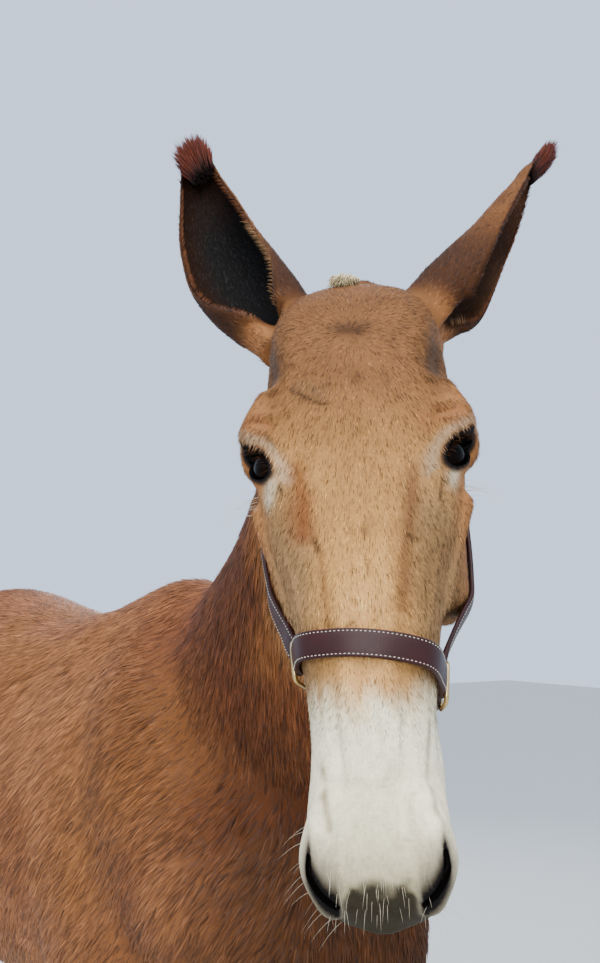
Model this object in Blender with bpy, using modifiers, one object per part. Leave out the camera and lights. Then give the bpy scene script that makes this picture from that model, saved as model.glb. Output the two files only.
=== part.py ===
"""A mule of saddle-mule build, life size, standing square with its head turned to its right.

Metres, +Z up. The mule's front looks along -Y and its left side is at +X. The body is worked out about the
withers, at x = 0 and y = 0, and at the end everything is moved so that the origin is the middle of the whole
model's box, on the ground.
"""

import math
import random

import bmesh
import bpy
from mathutils import Matrix, Vector
from mathutils.bvhtree import BVHTree

# Driving dimensions
WITHERS = 1.535
EAR_LENGTH = 0.308
EYE_RADIUS = 0.0235
GAP = 0.0003

# Where the head is held: the poll, and how the head turns, leans and tilts about it
POLL = Vector((-0.246, -0.761, 1.871))
HEAD_YAW = math.radians(-39.4)
HEAD_LEAN = math.radians(-3.4)
HEAD_TILT = math.radians(-16.2)
HEAD_PLACE = (
    Matrix.Translation(POLL)
    @ Matrix.Rotation(HEAD_YAW, 4, "Z")
    @ Matrix.Rotation(HEAD_LEAN, 4, "Y")
    @ Matrix.Rotation(HEAD_TILT, 4, "X")
)

# Mesh fineness
BODY_VOXEL = 0.011
HEAD_VOXEL = 0.0042
BODY_TRIANGLES = 3800
HEAD_TRIANGLES = 2250

# How the body is softened: from no turns at the low level to all of them at the high one
SOFT_LOW = 0.62
SOFT_HIGH = 0.92
SOFT_TURNS = 36

# A lock's width at its tip as a part of its full width, and how far down it stays full
LOCK_TIP = 0.08
CLIPPED_TIP = 0.55
MANE_TIP = 0.8
LOCK_FULLNESS = 1.6

UP = Vector((0, 0, 1))
LEFT = Vector((1, 0, 0))
HEAD_LEFT = HEAD_PLACE.to_3x3() @ LEFT

# The trunk from breast to buttock: y, height of the widest level, half width, rise to the back, drop to the
# belly, and how roof-like the back is
TRUNK = (
    (-0.455, 1.080, 0.070, 0.080, 0.090, 0.0),
    (-0.425, 1.080, 0.130, 0.150, 0.140, 0.0),
    (-0.340, 1.090, 0.185, 0.260, 0.210, 0.1),
    (-0.180, 1.110, 0.215, 0.370, 0.265, 0.3),
    (0.000, 1.120, 0.238, WITHERS - 1.120, 0.290, 0.45),
    (0.200, 1.110, 0.275, 0.374, 0.300, 0.15),
    (0.400, 1.110, 0.300, 0.355, 0.305, 0.0),
    (0.600, 1.130, 0.295, 0.358, 0.290, 0.0),
    (0.780, 1.160, 0.275, 0.358, 0.270, 0.1),
    (0.930, 1.160, 0.240, 0.330, 0.230, 0.15),
    (1.040, 1.160, 0.180, 0.250, 0.190, 0.1),
    (1.110, 1.160, 0.110, 0.150, 0.140, 0.0),
)

# The neck from inside the trunk to inside the head: x, y, z, half width, half depth to the crest and to the
# throat
NECK = (
    (0.000, 0.040, 1.200, 0.150, 0.250, 0.260),
    (0.000, -0.140, 1.275, 0.140, 0.235, 0.250),
    (-0.026, -0.330, 1.410, 0.124, 0.232, 0.220),
    (-0.080, -0.505, 1.580, 0.102, 0.190, 0.170),
    (-0.142, -0.645, 1.712, 0.086, 0.138, 0.132),
    (-0.193, -0.720, 1.745, 0.072, 0.095, 0.105),
)
CREST_PINCH = 0.35

# A fore leg on the left side, from inside the shoulder down to the coronet: x, y, z, half width, half depth
FORE_LEG = (
    (0.150, -0.090, 1.020, 0.085, 0.130),
    (0.162, -0.085, 0.900, 0.080, 0.108),
    (0.165, -0.105, 0.780, 0.058, 0.078),
    (0.163, -0.125, 0.660, 0.047, 0.060),
    (0.160, -0.138, 0.550, 0.043, 0.049),
    (0.158, -0.146, 0.490, 0.050, 0.054),
    (0.157, -0.145, 0.430, 0.041, 0.047),
    (0.156, -0.142, 0.350, 0.029, 0.039),
    (0.155, -0.143, 0.250, 0.029, 0.039),
    (0.154, -0.147, 0.185, 0.037, 0.046),
    (0.153, -0.166, 0.135, 0.031, 0.036),
    (0.152, -0.186, 0.090, 0.040, 0.043),
    (0.152, -0.196, 0.070, 0.042, 0.046),
)

# A hind leg on the left side, the same way
HIND_LEG = (
    (0.120, 0.860, 1.150, 0.110, 0.190),
    (0.150, 0.830, 1.000, 0.100, 0.170),
    (0.160, 0.850, 0.880, 0.078, 0.125),
    (0.160, 0.900, 0.780, 0.056, 0.086),
    (0.158, 0.955, 0.690, 0.042, 0.058),
    (0.156, 0.995, 0.605, 0.042, 0.060),
    (0.155, 0.998, 0.540, 0.037, 0.050),
    (0.155, 0.982, 0.440, 0.029, 0.040),
    (0.154, 0.965, 0.300, 0.028, 0.038),
    (0.153, 0.955, 0.200, 0.035, 0.043),
    (0.152, 0.932, 0.140, 0.029, 0.034),
    (0.151, 0.908, 0.088, 0.040, 0.044),
    (0.151, 0.902, 0.070, 0.041, 0.046),
)

# The stump of the tail: x, y, z, half width, half depth
TAIL_ROOT = (
    (0.0, 0.990, 1.390, 0.055, 0.050),
    (0.0, 1.068, 1.385, 0.045, 0.042),
    (0.0, 1.118, 1.335, 0.036, 0.034),
    (0.0, 1.138, 1.250, 0.030, 0.028),
    (0.0, 1.142, 1.160, 0.030, 0.026),
)

# The thick of the hair below it
TAIL_HAIR = (
    (0.0, 1.146, 1.000, 0.042, 0.030),
    (0.0, 1.142, 0.800, 0.040, 0.030),
    (0.0, 1.136, 0.620, 0.022, 0.018),
)

# The head in rings from the poll to the lip: distance from the poll, how far the front, the widest level and
# the back lie behind the face plane, half width, and how square the front and the back are
HEAD = (
    (0.012, 0.100, 0.120, 0.145, 0.030, 2.0, 2.0),
    (0.021, 0.080, 0.120, 0.168, 0.056, 2.1, 2.0),
    (0.042, 0.052, 0.110, 0.190, 0.077, 2.3, 2.0),
    (0.076, 0.024, 0.100, 0.212, 0.087, 2.5, 2.0),
    (0.122, 0.005, 0.085, 0.232, 0.093, 2.6, 2.0),
    (0.172, -0.006, 0.072, 0.254, 0.099, 2.7, 1.9),
    (0.215, -0.008, 0.065, 0.274, 0.104, 2.8, 1.8),
    (0.262, -0.004, 0.068, 0.282, 0.101, 2.9, 1.7),
    (0.315, 0.003, 0.072, 0.266, 0.092, 2.8, 1.7),
    (0.368, 0.009, 0.074, 0.228, 0.077, 2.7, 1.7),
    (0.425, 0.013, 0.076, 0.188, 0.067, 2.6, 1.8),
    (0.475, 0.016, 0.078, 0.164, 0.060, 2.5, 2.0),
    (0.525, 0.018, 0.076, 0.152, 0.059, 2.4, 2.1),
    (0.575, 0.020, 0.072, 0.148, 0.064, 2.3, 2.2),
    (0.615, 0.026, 0.076, 0.146, 0.065, 2.2, 2.2),
    (0.641, 0.042, 0.088, 0.138, 0.056, 2.1, 2.1),
    (0.655, 0.060, 0.094, 0.124, 0.041, 2.0, 2.0),
    (0.663, 0.080, 0.098, 0.112, 0.022, 2.0, 2.0),
)

# Bone, muscle and lips of the head, on the left side: place left, behind the face plane and down from the
# poll, half width and half depth
HEAD_BONES = (
    (
        (0.055, 0.060, 0.120, 0.020, 0.020), (0.082, 0.032, 0.180, 0.019, 0.018),
        (0.094, 0.028, 0.215, 0.022, 0.020),
    ),
    (
        (0.094, 0.040, 0.200, 0.020, 0.020), (0.104, 0.070, 0.225, 0.014, 0.018),
        (0.086, 0.120, 0.215, 0.012, 0.014),
    ),
    (
        (0.094, 0.058, 0.285, 0.014, 0.014), (0.084, 0.062, 0.330, 0.010, 0.012),
        (0.067, 0.062, 0.385, 0.009, 0.010),
    ),
    (
        (0.066, 0.160, 0.190, 0.030, 0.060), (0.070, 0.165, 0.255, 0.030, 0.085),
        (0.072, 0.150, 0.345, 0.028, 0.055),
    ),
    (
        (0.018, 0.012, 0.290, 0.016, 0.012), (0.018, 0.020, 0.420, 0.014, 0.012),
        (0.016, 0.026, 0.540, 0.012, 0.010),
    ),
    (
        (0.038, 0.034, 0.565, 0.018, 0.018), (0.050, 0.040, 0.608, 0.019, 0.022),
        (0.040, 0.060, 0.638, 0.018, 0.020),
    ),
    (
        (0.046, 0.112, 0.110, 0.032, 0.034), (0.060, 0.114, 0.085, 0.034, 0.036),
        (0.068, 0.114, 0.068, 0.028, 0.030),
    ),
    (
        (0.044, 0.100, 0.455, 0.012, 0.026), (0.048, 0.104, 0.510, 0.015, 0.030),
        (0.048, 0.104, 0.560, 0.014, 0.026),
    ),
    (
        (0.000, 0.075, 0.614, 0.036, 0.026), (0.000, 0.082, 0.640, 0.034, 0.024),
        (0.000, 0.090, 0.651, 0.028, 0.018),
    ),
    (
        (0.000, 0.135, 0.570, 0.034, 0.022), (0.000, 0.142, 0.605, 0.032, 0.024),
        (0.000, 0.136, 0.632, 0.026, 0.016),
    ),
)

# Swellings (+) and hollows (-) of the head: place as above, radius, rise
HEAD_HOLLOWS = (
    (0.082, 0.052, 0.150, 0.028, -0.010),
    (0.060, 0.010, 0.130, 0.040, 0.003),
    (0.000, 0.000, 0.200, 0.050, 0.004),
    (0.060, 0.030, 0.440, 0.034, -0.005),
    (0.074, 0.110, 0.400, 0.040, -0.005),
    (0.056, 0.090, 0.500, 0.030, -0.003),
    (0.000, 0.020, 0.610, 0.024, -0.005),
    (0.000, 0.160, 0.560, 0.030, -0.006),
)

# Eyes, nostrils and mouth, placed the same way
EYE = (0.079, 0.043, 0.243)
EYE_GAZE = (0.81, -0.58, 0.05)
EYE_SLANT = math.radians(40)
OPENING_DEPTH = (0.010, 0.060)
EYE_OPENING = (0.0245, 0.0135)
LID = 0.0052
NOSTRIL = (
    (0.057, 0.018, 0.590, 0.0035, 0.009),
    (0.061, 0.024, 0.608, 0.0050, 0.013),
    (0.055, 0.030, 0.628, 0.0058, 0.013),
    (0.041, 0.039, 0.643, 0.0048, 0.010),
)
MOUTH = ((0.535, 0.112), (0.575, 0.116), (0.620, 0.118), (0.655, 0.110), (0.700, 0.100))
MOUTH_GAP = 0.0026
MOUTH_REACH = 0.09

# An ear from root to tip: part of its length, radius, half the angle it wraps round, thickness
EAR = (
    (-0.06, 0.036, 165, 0.0345),
    (0.04, 0.042, 160, 0.0390),
    (0.12, 0.046, 148, 0.0270),
    (0.22, 0.050, 128, 0.0068),
    (0.36, 0.051, 108, 0.0050),
    (0.52, 0.047, 92, 0.0046),
    (0.68, 0.041, 84, 0.0044),
    (0.82, 0.030, 80, 0.0042),
    (0.93, 0.022, 76, 0.0038),
    (1.00, 0.013, 72, 0.0030),
)
EAR_BOW = {"ear_right": (-0.006, -0.0245), "ear_left": (0.023, 0.004)}
EAR_WIDE = {"ear_right": 1.05, "ear_left": 0.88}
EAR_SIDES = 7
EAR_ROOT = {"ear_right": (-0.072, 0.110, 0.060), "ear_left": (0.067, 0.106, 0.060)}
EAR_AXIS = {"ear_right": (-0.380, 0.120, 0.917), "ear_left": (0.515, 0.305, 0.815)}
EAR_OPEN = {"ear_right": (-0.30, -0.90, 0.10), "ear_left": (0.70, -0.16, -0.60)}

# The halter: straps and brass rings, laid on the head along rows of x, y, s
STRAP = 0.0254
NARROW_STRAP = 0.0190
STRAP_THICK = 0.0046
STRAP_LIFT = 0.0011
STRAP_STEPS = 3
REACH = 0.09
NEAR_REACH = 0.020
FOLD_THICK = 0.0098
FOLD_LENGTH = 0.020
FOLD_RISE = 0.004
WIRE = 0.0023
WIRE_SIDES = 4
RING_LIFT = 0.0066
SQUARE_RING = 0.0195
ROUND_RING = 0.0210
HALTER_RINGS = {
    "halter_ring_left": ((0.072, 0.100, 0.452), SQUARE_RING, 5.0),
    "halter_ring_right": ((-0.072, 0.100, 0.424), SQUARE_RING, 5.0),
    "halter_ring_chin": ((0.0, 0.176, 0.472), ROUND_RING, 2.0),
    "halter_buckle_left": ((0.090, 0.182, 0.118), SQUARE_RING, 5.0),
    "halter_buckle_right": ((-0.090, 0.182, 0.118), SQUARE_RING, 5.0),
}
# Each strap: width, whether it hangs where it is clear of the head, the line that it wraps round as y and the
# span of s that it keeps to, and its guide
WHOLE = (0.0, 1.0)
HALTER_STRAPS = {
    "halter_noseband": (STRAP, False, 0.090, WHOLE, (
        (0.071, 0.085, 0.452), (0.068, 0.055, 0.446), (0.052, 0.022, 0.438), (0.000, 0.010, 0.429),
        (-0.052, 0.022, 0.425), (-0.068, 0.055, 0.424), (-0.071, 0.085, 0.424),
    )),
    "halter_cheek_left": (STRAP, False, 0.140, WHOLE, (
        (0.074, 0.108, 0.436), (0.082, 0.138, 0.388), (0.092, 0.165, 0.335), (0.097, 0.180, 0.270),
        (0.096, 0.186, 0.180),
        (0.090, 0.182, 0.132),
    )),
    "halter_cheek_right": (STRAP, True, 0.140, WHOLE, (
        (-0.069, 0.106, 0.408), (-0.0875, 0.124, 0.368), (-0.097, 0.140, 0.335), (-0.104, 0.165, 0.270),
        (-0.095, 0.182, 0.180), (-0.090, 0.182, 0.132),
    )),
    "halter_crown": (STRAP, False, 0.140, (0.110, 1.0), (
        (0.090, 0.182, 0.104), (0.082, 0.182, 0.060), (0.050, 0.176, 0.022), (0.000, 0.172, 0.010),
        (-0.050, 0.176, 0.022), (-0.082, 0.182, 0.060), (-0.090, 0.182, 0.104),
    )),
    "halter_chin_left": (NARROW_STRAP, False, 0.090, WHOLE, (
        (0.068, 0.116, 0.456), (0.048, 0.156, 0.466), (0.018, 0.176, 0.471),
    )),
    "halter_chin_right": (NARROW_STRAP, False, 0.090, WHOLE, (
        (-0.068, 0.116, 0.430), (-0.048, 0.156, 0.452), (-0.018, 0.176, 0.469),
    )),
    "halter_throat_latch": (NARROW_STRAP, True, 0.225, (0.0, 0.250), (
        (0.090, 0.200, 0.126), (0.084, 0.232, 0.175), (0.074, 0.256, 0.225), (0.056, 0.268, 0.272),
        (0.030, 0.276, 0.314), (0.000, 0.278, 0.328), (-0.030, 0.276, 0.314), (-0.056, 0.268, 0.272),
        (-0.074, 0.256, 0.225), (-0.084, 0.232, 0.175), (-0.090, 0.200, 0.126),
    )),
    "halter_jaw_strap": (NARROW_STRAP, True, 0.080, WHOLE, (
        (0.0, 0.184, 0.457), (0.0, 0.214, 0.412), (0.0, 0.248, 0.362), (0.0, 0.276, 0.330),
    )),
}

# Clipped mane, tuft at the poll and tufts on the ear tips
MANE_HEIGHT = 0.032
MANE_HALF_WIDTH = 0.010
MANE_ROOT = 0.012
MANE_START = 8
MANE_RISE = 6
MANE_LOCKS = 25
MANE_LOCK = (0.056, 0.015)
POLL_LOCKS = 7
POLL_LOCK = (0.024, 0.011)
POLL_SPREAD = (0.015, 0.011)
POLL_HEIGHT = 0.036
POLL_PLACE = (0.114, 0.028)
# For each ear: where the tuft starts from the tip, its length, how far it spreads
EAR_TUFT = {"ear_right": (-0.034, 0.050, 0.018), "ear_left": (-0.020, 0.062, 0.013)}
EAR_LOCKS = 6
EAR_LOCK = (0.019, 0.009)

# Tail: levels on the stump from which locks hang, with their number and length
TAIL_ROWS = ((1.330, 4, 0.380), (1.200, 6, 0.520), (1.040, 7, 0.600))
TAIL_LOCK = (0.056, 0.017)
TAIL_FLARE = 0.034

# Feet
HOOF_WIDTH = 0.104
HOOF_LENGTH = 0.128
HOOF_SLOPE = 0.030
CORONET_HEIGHT = 0.078
CORONET_FALL = 0.026

# How far each foot is set ahead of (-) or behind (+) the square stance
FORE_STEP = {"left": -0.050, "right": 0.015}
HIND_STEP = {"left": 0.030, "right": -0.055}

# Muscle and bone under the skin, on the left side: rows as in the legs
MUSCLES = (
    (
        (0.060, 0.060, 1.430, 0.040, 0.070), (0.135, -0.080, 1.270, 0.080, 0.130),
        (0.155, -0.280, 1.080, 0.074, 0.110),
    ),
    (
        (0.145, 0.000, 1.210, 0.080, 0.130), (0.178, -0.015, 1.020, 0.070, 0.120),
        (0.180, -0.040, 0.900, 0.052, 0.080),
    ),
    (
        (0.062, -0.380, 1.140, 0.070, 0.080), (0.085, -0.365, 1.010, 0.072, 0.080),
        (0.120, -0.230, 0.900, 0.055, 0.080),
    ),
    (
        (0.200, 0.600, 1.360, 0.045, 0.060), (0.180, 0.740, 1.330, 0.085, 0.120),
        (0.110, 0.920, 1.320, 0.100, 0.120),
    ),
    (
        (0.190, 0.660, 1.200, 0.085, 0.140), (0.190, 0.710, 1.060, 0.085, 0.120),
        (0.190, 0.755, 0.930, 0.062, 0.090),
    ),
    (
        (0.090, 1.010, 1.290, 0.085, 0.085), (0.122, 1.020, 1.120, 0.090, 0.100),
        (0.145, 0.980, 0.960, 0.066, 0.095),
    ),
)

# The point of the hock, in the same rows
HOCK = (
    (0.158, 0.985, 0.760, 0.016, 0.026),
    (0.157, 1.030, 0.690, 0.016, 0.020),
    (0.156, 1.045, 0.640, 0.021, 0.022),
    (0.156, 1.022, 0.570, 0.020, 0.024),
    (0.155, 1.005, 0.500, 0.016, 0.022),
)

# Where the whole is parted: the levels of the leg tops, the span of y of the fore and of the hind legs, and
# room for cutters beyond all of it
FORE_LEG_TOP = 0.785
HIND_LEG_TOP = 0.800
FORE_REACH = (-1.4, 0.35)
HIND_REACH = (0.35, 1.4)
ASIDE = 0.6
ABOVE = 1.9
BELOW = -0.2
CORONET_REACH = 0.3
NECK_BASE = (Vector((0, -0.300, 1.330)), Vector((0.04, -0.80, 0.60)).normalized())
HEAD_BACK = (Vector((0, 0.225, 0)), Vector((0, 0.972, 0.235)))


# Shapes shared by the parts

def spread(rows, steps):
    """Rows on a smooth curve through the given ones, with the given steps from each to the next."""
    last = len(rows) - 1
    found = []
    for i in range(last):
        a, b, c, d = (rows[max(0, min(last, i + k))] for k in (-1, 0, 1, 2))
        for step in range(steps):
            t = step / steps
            found.append(tuple(
                q + t / 2 * (r - p + t * (2 * p - 5 * q + 4 * r - s + t * (3 * q - p - 3 * r + s)))
                for p, q, r, s in zip(a, b, c, d)
            ))
    found.append(tuple(rows[last]))
    return found


def turned(count):
    """Angles once round, starting at the right."""
    return [2 * math.pi * i / count for i in range(count)]


def put(name, mesh):
    made = bpy.data.objects.new(name, mesh)
    bpy.context.scene.collection.objects.link(made)
    return made


def loft(name, rings):
    """A closed skin over rings of points, with flat ends."""
    work = bmesh.new()
    rows = [[work.verts.new(p) for p in ring] for ring in rings]
    count = len(rows[0])
    for low, high in zip(rows, rows[1:]):
        for i in range(count):
            work.faces.new((low[i], low[(i + 1) % count], high[(i + 1) % count], high[i]))
    for row in (rows[0], rows[-1]):
        work.faces.new(row)
    bmesh.ops.recalc_face_normals(work, faces=work.faces)
    mesh = bpy.data.meshes.new(name)
    work.to_mesh(mesh)
    work.free()
    return put(name, mesh)


def lock(path, wide, thick, flat, tip=LOCK_TIP):
    """A flat lock of hair along a path, narrowing to its tip, with its flat side facing the given way."""
    rings = []
    last = len(path) - 1
    for i, here in enumerate(path):
        ahead = (path[min(i + 1, last)] - path[max(i - 1, 0)]).normalized()
        side = ahead.cross(flat).normalized()
        face = side.cross(ahead)
        size = tip + (1 - tip) * (1 - (i / last) ** LOCK_FULLNESS)
        w, t = wide / 2 * size, thick / 2 * size
        rings.append([here + side * w, here + face * t, here - side * w, here - face * t])
    return loft("lock", rings)


def limb(name, rows, steps=4, count=16, across=LEFT):
    """A rounded tube through rows of x, y, z, half width and half depth."""
    path = spread(rows, steps)
    rings = []
    for i, row in enumerate(path):
        ahead = Vector(path[min(i + 1, len(path) - 1)][:3]) - Vector(path[max(i - 1, 0)][:3])
        ahead.normalize()
        side = (across - ahead * across.dot(ahead)).normalized()
        deep = ahead.cross(side)
        here = Vector(row[:3])
        ends = [(0, 1)]
        blunt = min(row[3], row[4])
        if i == 0:
            ends = [(-math.sin(a) * blunt, math.cos(a)) for a in (1.35, 0.9, 0.45, 0)]
        elif i == len(path) - 1:
            ends = [(math.sin(a) * blunt, math.cos(a)) for a in (0, 0.45, 0.9, 1.35)]
        for shift, scale in ends:
            middle = here + ahead * shift
            wide, thick = side * (row[3] * scale), deep * (row[4] * scale)
            rings.append([middle + wide * math.cos(a) + thick * math.sin(a) for a in turned(count)])
    return loft(name, rings)


def mirrored(rows):
    return tuple((-row[0],) + tuple(row[1:]) for row in rows)


def evaluated_mesh(thing):
    graph = bpy.context.evaluated_depsgraph_get()
    return bpy.data.meshes.new_from_object(thing.evaluated_get(graph))


def settle(thing):
    """Applies the modifiers and the object's place to its mesh."""
    bpy.context.view_layer.update()
    mesh = evaluated_mesh(thing)
    mesh.transform(thing.matrix_world)
    thing.modifiers.clear()
    thing.matrix_world = Matrix.Identity(4)
    old, thing.data = thing.data, mesh
    bpy.data.meshes.remove(old)
    return thing


def remove(things):
    for thing in things:
        bpy.data.objects.remove(thing, do_unlink=True)


def joined(name, things):
    """The things' meshes in one object, still overlapping."""
    work = bmesh.new()
    for thing in things:
        settle(thing)
        work.from_mesh(thing.data)
    mesh = bpy.data.meshes.new(name)
    work.to_mesh(mesh)
    work.free()
    remove(things)
    return put(name, mesh)


def fused(name, things, voxel, smoothing):
    """One smooth flesh form out of overlapping forms."""
    flesh = joined(name, things)
    skin = flesh.modifiers.new("skin", "REMESH")
    skin.mode = "VOXEL"
    skin.voxel_size = voxel
    skin.adaptivity = 0
    soften = flesh.modifiers.new("soften", "SMOOTH")
    soften.factor = 0.5
    soften.iterations = smoothing
    return settle(flesh)


def thinned(thing, triangles):
    """Merges faces where the form is plain, down to about the given number of triangles."""
    faces = sum(len(face.vertices) - 2 for face in thing.data.polygons)
    thin = thing.modifiers.new("thin", "DECIMATE")
    thin.ratio = triangles / faces
    return settle(thing)


def cut(thing, others):
    """Cuts the thing with each of the others in turn."""
    for other in others:
        change = thing.modifiers.new("cut", "BOOLEAN")
        change.operation = "DIFFERENCE"
        change.object = settle(other)
        change.solver = "MANIFOLD"
        settle(thing)
        remove([other])
    return keep_largest(thing)


def united(thing, others):
    """Joins the thing with all of the others in one Boolean, and removes them."""
    tools = bpy.data.collections.new("tools")
    bpy.context.scene.collection.children.link(tools)
    for other in others:
        settle(other)
        for place in list(other.users_collection):
            place.objects.unlink(other)
        tools.objects.link(other)
    change = thing.modifiers.new("union", "BOOLEAN")
    change.operation = "UNION"
    change.operand_type = "COLLECTION"
    change.collection = tools
    change.solver = "MANIFOLD"
    settle(thing)
    remove(list(tools.objects))
    bpy.data.collections.remove(tools)
    return keep_largest(thing)


def keep_largest(thing):
    """Leaves only the largest closed surface of a mesh."""
    work = bmesh.new()
    work.from_mesh(thing.data)
    left = set(work.verts)
    groups = []
    while left:
        group, edge = set(), [left.pop()]
        while edge:
            vert = edge.pop()
            group.add(vert)
            for link in vert.link_edges:
                other = link.other_vert(vert)
                if other in left:
                    left.discard(other)
                    edge.append(other)
        groups.append(group)
    groups.sort(key=len)
    for group in groups[:-1]:
        bmesh.ops.delete(work, geom=list(group), context="VERTS")
    work.to_mesh(thing.data)
    work.free()
    return thing


def block(low, high, place=Matrix.Identity(4)):
    """A box from its low to its high corner, in its own place."""
    work = bmesh.new()
    size = Vector(high) - Vector(low)
    middle = (Vector(high) + Vector(low)) / 2
    shape = Matrix.Translation(middle) @ Matrix.Diagonal(size).to_4x4()
    bmesh.ops.create_cube(work, size=1, matrix=place @ shape)
    mesh = bpy.data.meshes.new("block")
    work.to_mesh(mesh)
    work.free()
    return put("block", mesh)


def beyond(point, normal, reach=2.6):
    """A block that fills one side of a plane, ahead of its normal."""
    place = Matrix.Translation(point) @ normal.to_track_quat("Z", "Y").to_matrix().to_4x4()
    return block((-reach, -reach, 0), (reach, reach, reach), place)


def copy_of(thing, name):
    return put(name, thing.data.copy())


def finish(thing, look):
    """Gives a part its material, rounds its shading and puts it in the model's collection."""
    bpy.context.scene.collection.objects.unlink(thing)
    bpy.data.collections["mule"].objects.link(thing)
    thing.data.materials.clear()
    thing.data.materials.append(look)
    thing.data.shade_smooth()
    thing.data.set_sharp_from_angle(angle=math.radians(50))
    return thing


def material(name, colour, roughness, metallic=0.0):
    made = bpy.data.materials.new(name)
    made.use_nodes = True
    shader = made.node_tree.nodes["Principled BSDF"]
    shader.inputs["Base Color"].default_value = (*colour, 1)
    shader.inputs["Roughness"].default_value = roughness
    shader.inputs["Metallic"].default_value = metallic
    return made


# Trunk, neck and legs

def trunk():
    rings = []
    for y, level, wide, rise, drop, roof in spread(TRUNK, 4):
        ring = []
        for a in turned(32):
            high = max(math.sin(a), 0)
            ring.append(Vector((
                wide * math.cos(a) * (1 - roof * high * high),
                y,
                level + (rise if math.sin(a) > 0 else drop) * math.sin(a),
            )))
        rings.append(ring)
    return loft("trunk", rings)


def neck_frame(path, i):
    """The point, the way ahead, the side and the crest's direction at one row of the neck."""
    ahead = Vector(path[min(i + 1, len(path) - 1)][:3]) - Vector(path[max(i - 1, 0)][:3])
    ahead.normalize()
    side = ahead.cross(UP).normalized()
    return Vector(path[i][:3]), ahead, side, side.cross(ahead)


def neck():
    path = spread(NECK, 5)
    rings = []
    for i, (_, _, _, wide, crest, throat) in enumerate(path):
        here, _, side, rise = neck_frame(path, i)
        ring = []
        for a in turned(28):
            high = max(math.sin(a), 0)
            depth = crest if math.sin(a) > 0 else throat
            breadth = wide * math.cos(a) * (1 - CREST_PINCH * high * high)
            ring.append(here + side * breadth + rise * (depth * math.sin(a)))
        rings.append(ring)
    return loft("neck_form", rings)


def stepped(rows, step, top=None):
    """Leg rows with the foot moved along the ground by the step, and the upper leg left where it is."""
    top = top or rows[0][2]
    return tuple((x, y + step * (1 - z / top) ** 0.8, z, wide, deep) for x, y, z, wide, deep in rows)


def legs():
    made = []
    for side, turn in (("left", tuple), ("right", mirrored)):
        made.append(limb("fore", turn(stepped(FORE_LEG, FORE_STEP[side]))))
        made.append(limb("hind", turn(stepped(HIND_LEG, HIND_STEP[side]))))
        made.append(limb("hock", turn(stepped(HOCK, HIND_STEP[side], HIND_LEG[0][2]))))
    return made


def muscles():
    made = []
    for rows in MUSCLES:
        made.append(limb("muscle", rows))
        made.append(limb("muscle", mirrored(rows)))
    return made


def softened(thing, low, high, turns):
    """Smooths a form more and more from a low to a high level."""
    group = thing.vertex_groups.new(name="upper")
    for vert in thing.data.vertices:
        group.add([vert.index], max(0.0, min(1.0, (vert.co.z - low) / (high - low))), "REPLACE")
    soften = thing.modifiers.new("soften", "SMOOTH")
    soften.factor = 0.5
    soften.iterations = turns
    soften.vertex_group = group.name
    settle(thing)
    thing.vertex_groups.clear()
    return thing


def body():
    """The whole body without its head and tail, as one flesh form."""
    whole = fused("body", [trunk(), neck(), *legs(), *muscles()], BODY_VOXEL, 4)
    softened(whole, SOFT_LOW, SOFT_HIGH, SOFT_TURNS)
    return thinned(whole, BODY_TRIANGLES)


# Head

def head_point(x, y, s):
    """A point of the head by its place to the left, behind the face plane, and down from the poll."""
    return HEAD_PLACE @ Vector((x, y, -s))


def head_loft():
    rings = []
    for s, front, level, back, wide, square_front, square_back in spread(HEAD, 3):
        ring = []
        for a in turned(36):
            across, deep = math.cos(a), math.sin(a)
            square = square_back if deep > 0 else square_front
            reach = (back if deep > 0 else front) - level
            x = wide * math.copysign(abs(across) ** (2 / square), across)
            ring.append(head_point(x, level + reach * abs(deep) ** (2 / square), s))
        rings.append(ring)
    return loft("head_form", rings)


def bone(rows, side=1):
    """A ridge or muscle of the head through rows of x, y, s, half width and half depth."""
    path = [(*head_point(side * x, y, s), wide, deep) for x, y, s, wide, deep in rows]
    return limb("bone", path, 3, 12, HEAD_LEFT)


def moulded(thing, rows):
    """Swells (+) or hollows (-) the head about the points in rows of x, y, s, radius and rise."""
    spots = []
    for x, y, s, radius, rise in rows:
        for side in ((1,) if x == 0 else (1, -1)):
            spots.append((head_point(side * x, y, s), radius, rise))
    normals = [vert.normal.copy() for vert in thing.data.vertices]
    for vert, normal in zip(thing.data.vertices, normals):
        move = 0
        for spot, radius, rise in spots:
            near = (vert.co - spot).length / radius
            move += rise * math.exp(-near * near)
        vert.co += normal * move
    return thing


def ball(middle, radius, segments=16, rings=9):
    work = bmesh.new()
    bmesh.ops.create_uvsphere(work, u_segments=segments, v_segments=rings, radius=radius)
    mesh = bpy.data.meshes.new("ball")
    work.to_mesh(mesh)
    work.free()
    mesh.transform(Matrix.Translation(middle))
    return put("ball", mesh)


def prism(outline, place, levels):
    """A prism over an outline in the XY plane of its place, between two levels."""
    return loft("prism", [[place @ Vector((x, y, z)) for x, y in outline] for z in levels])


def almond(long, tall, tilt, count=16):
    """The outline of an eye's opening: two arcs that meet in two corners."""
    outline = []
    for a in turned(count):
        x = long * math.cos(a)
        y = tall * math.sin(a) * abs(math.sin(a)) ** 0.35
        outline.append((x * math.cos(tilt) - y * math.sin(tilt), x * math.sin(tilt) + y * math.cos(tilt)))
    return outline


def eye_middle(side):
    x, y, s = EYE
    return head_point(side * x, y, s)


def eye_gaze(side):
    """A place whose Z looks out of the eye and whose Y runs up the head."""
    out = (HEAD_PLACE.to_3x3() @ Vector((side * EYE_GAZE[0], EYE_GAZE[1], EYE_GAZE[2]))).normalized()
    up = HEAD_PLACE.to_3x3() @ UP
    across = up.cross(out).normalized()
    place = Matrix((across, out.cross(across), out)).transposed().to_4x4()
    place.translation = eye_middle(side)
    return place


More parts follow.
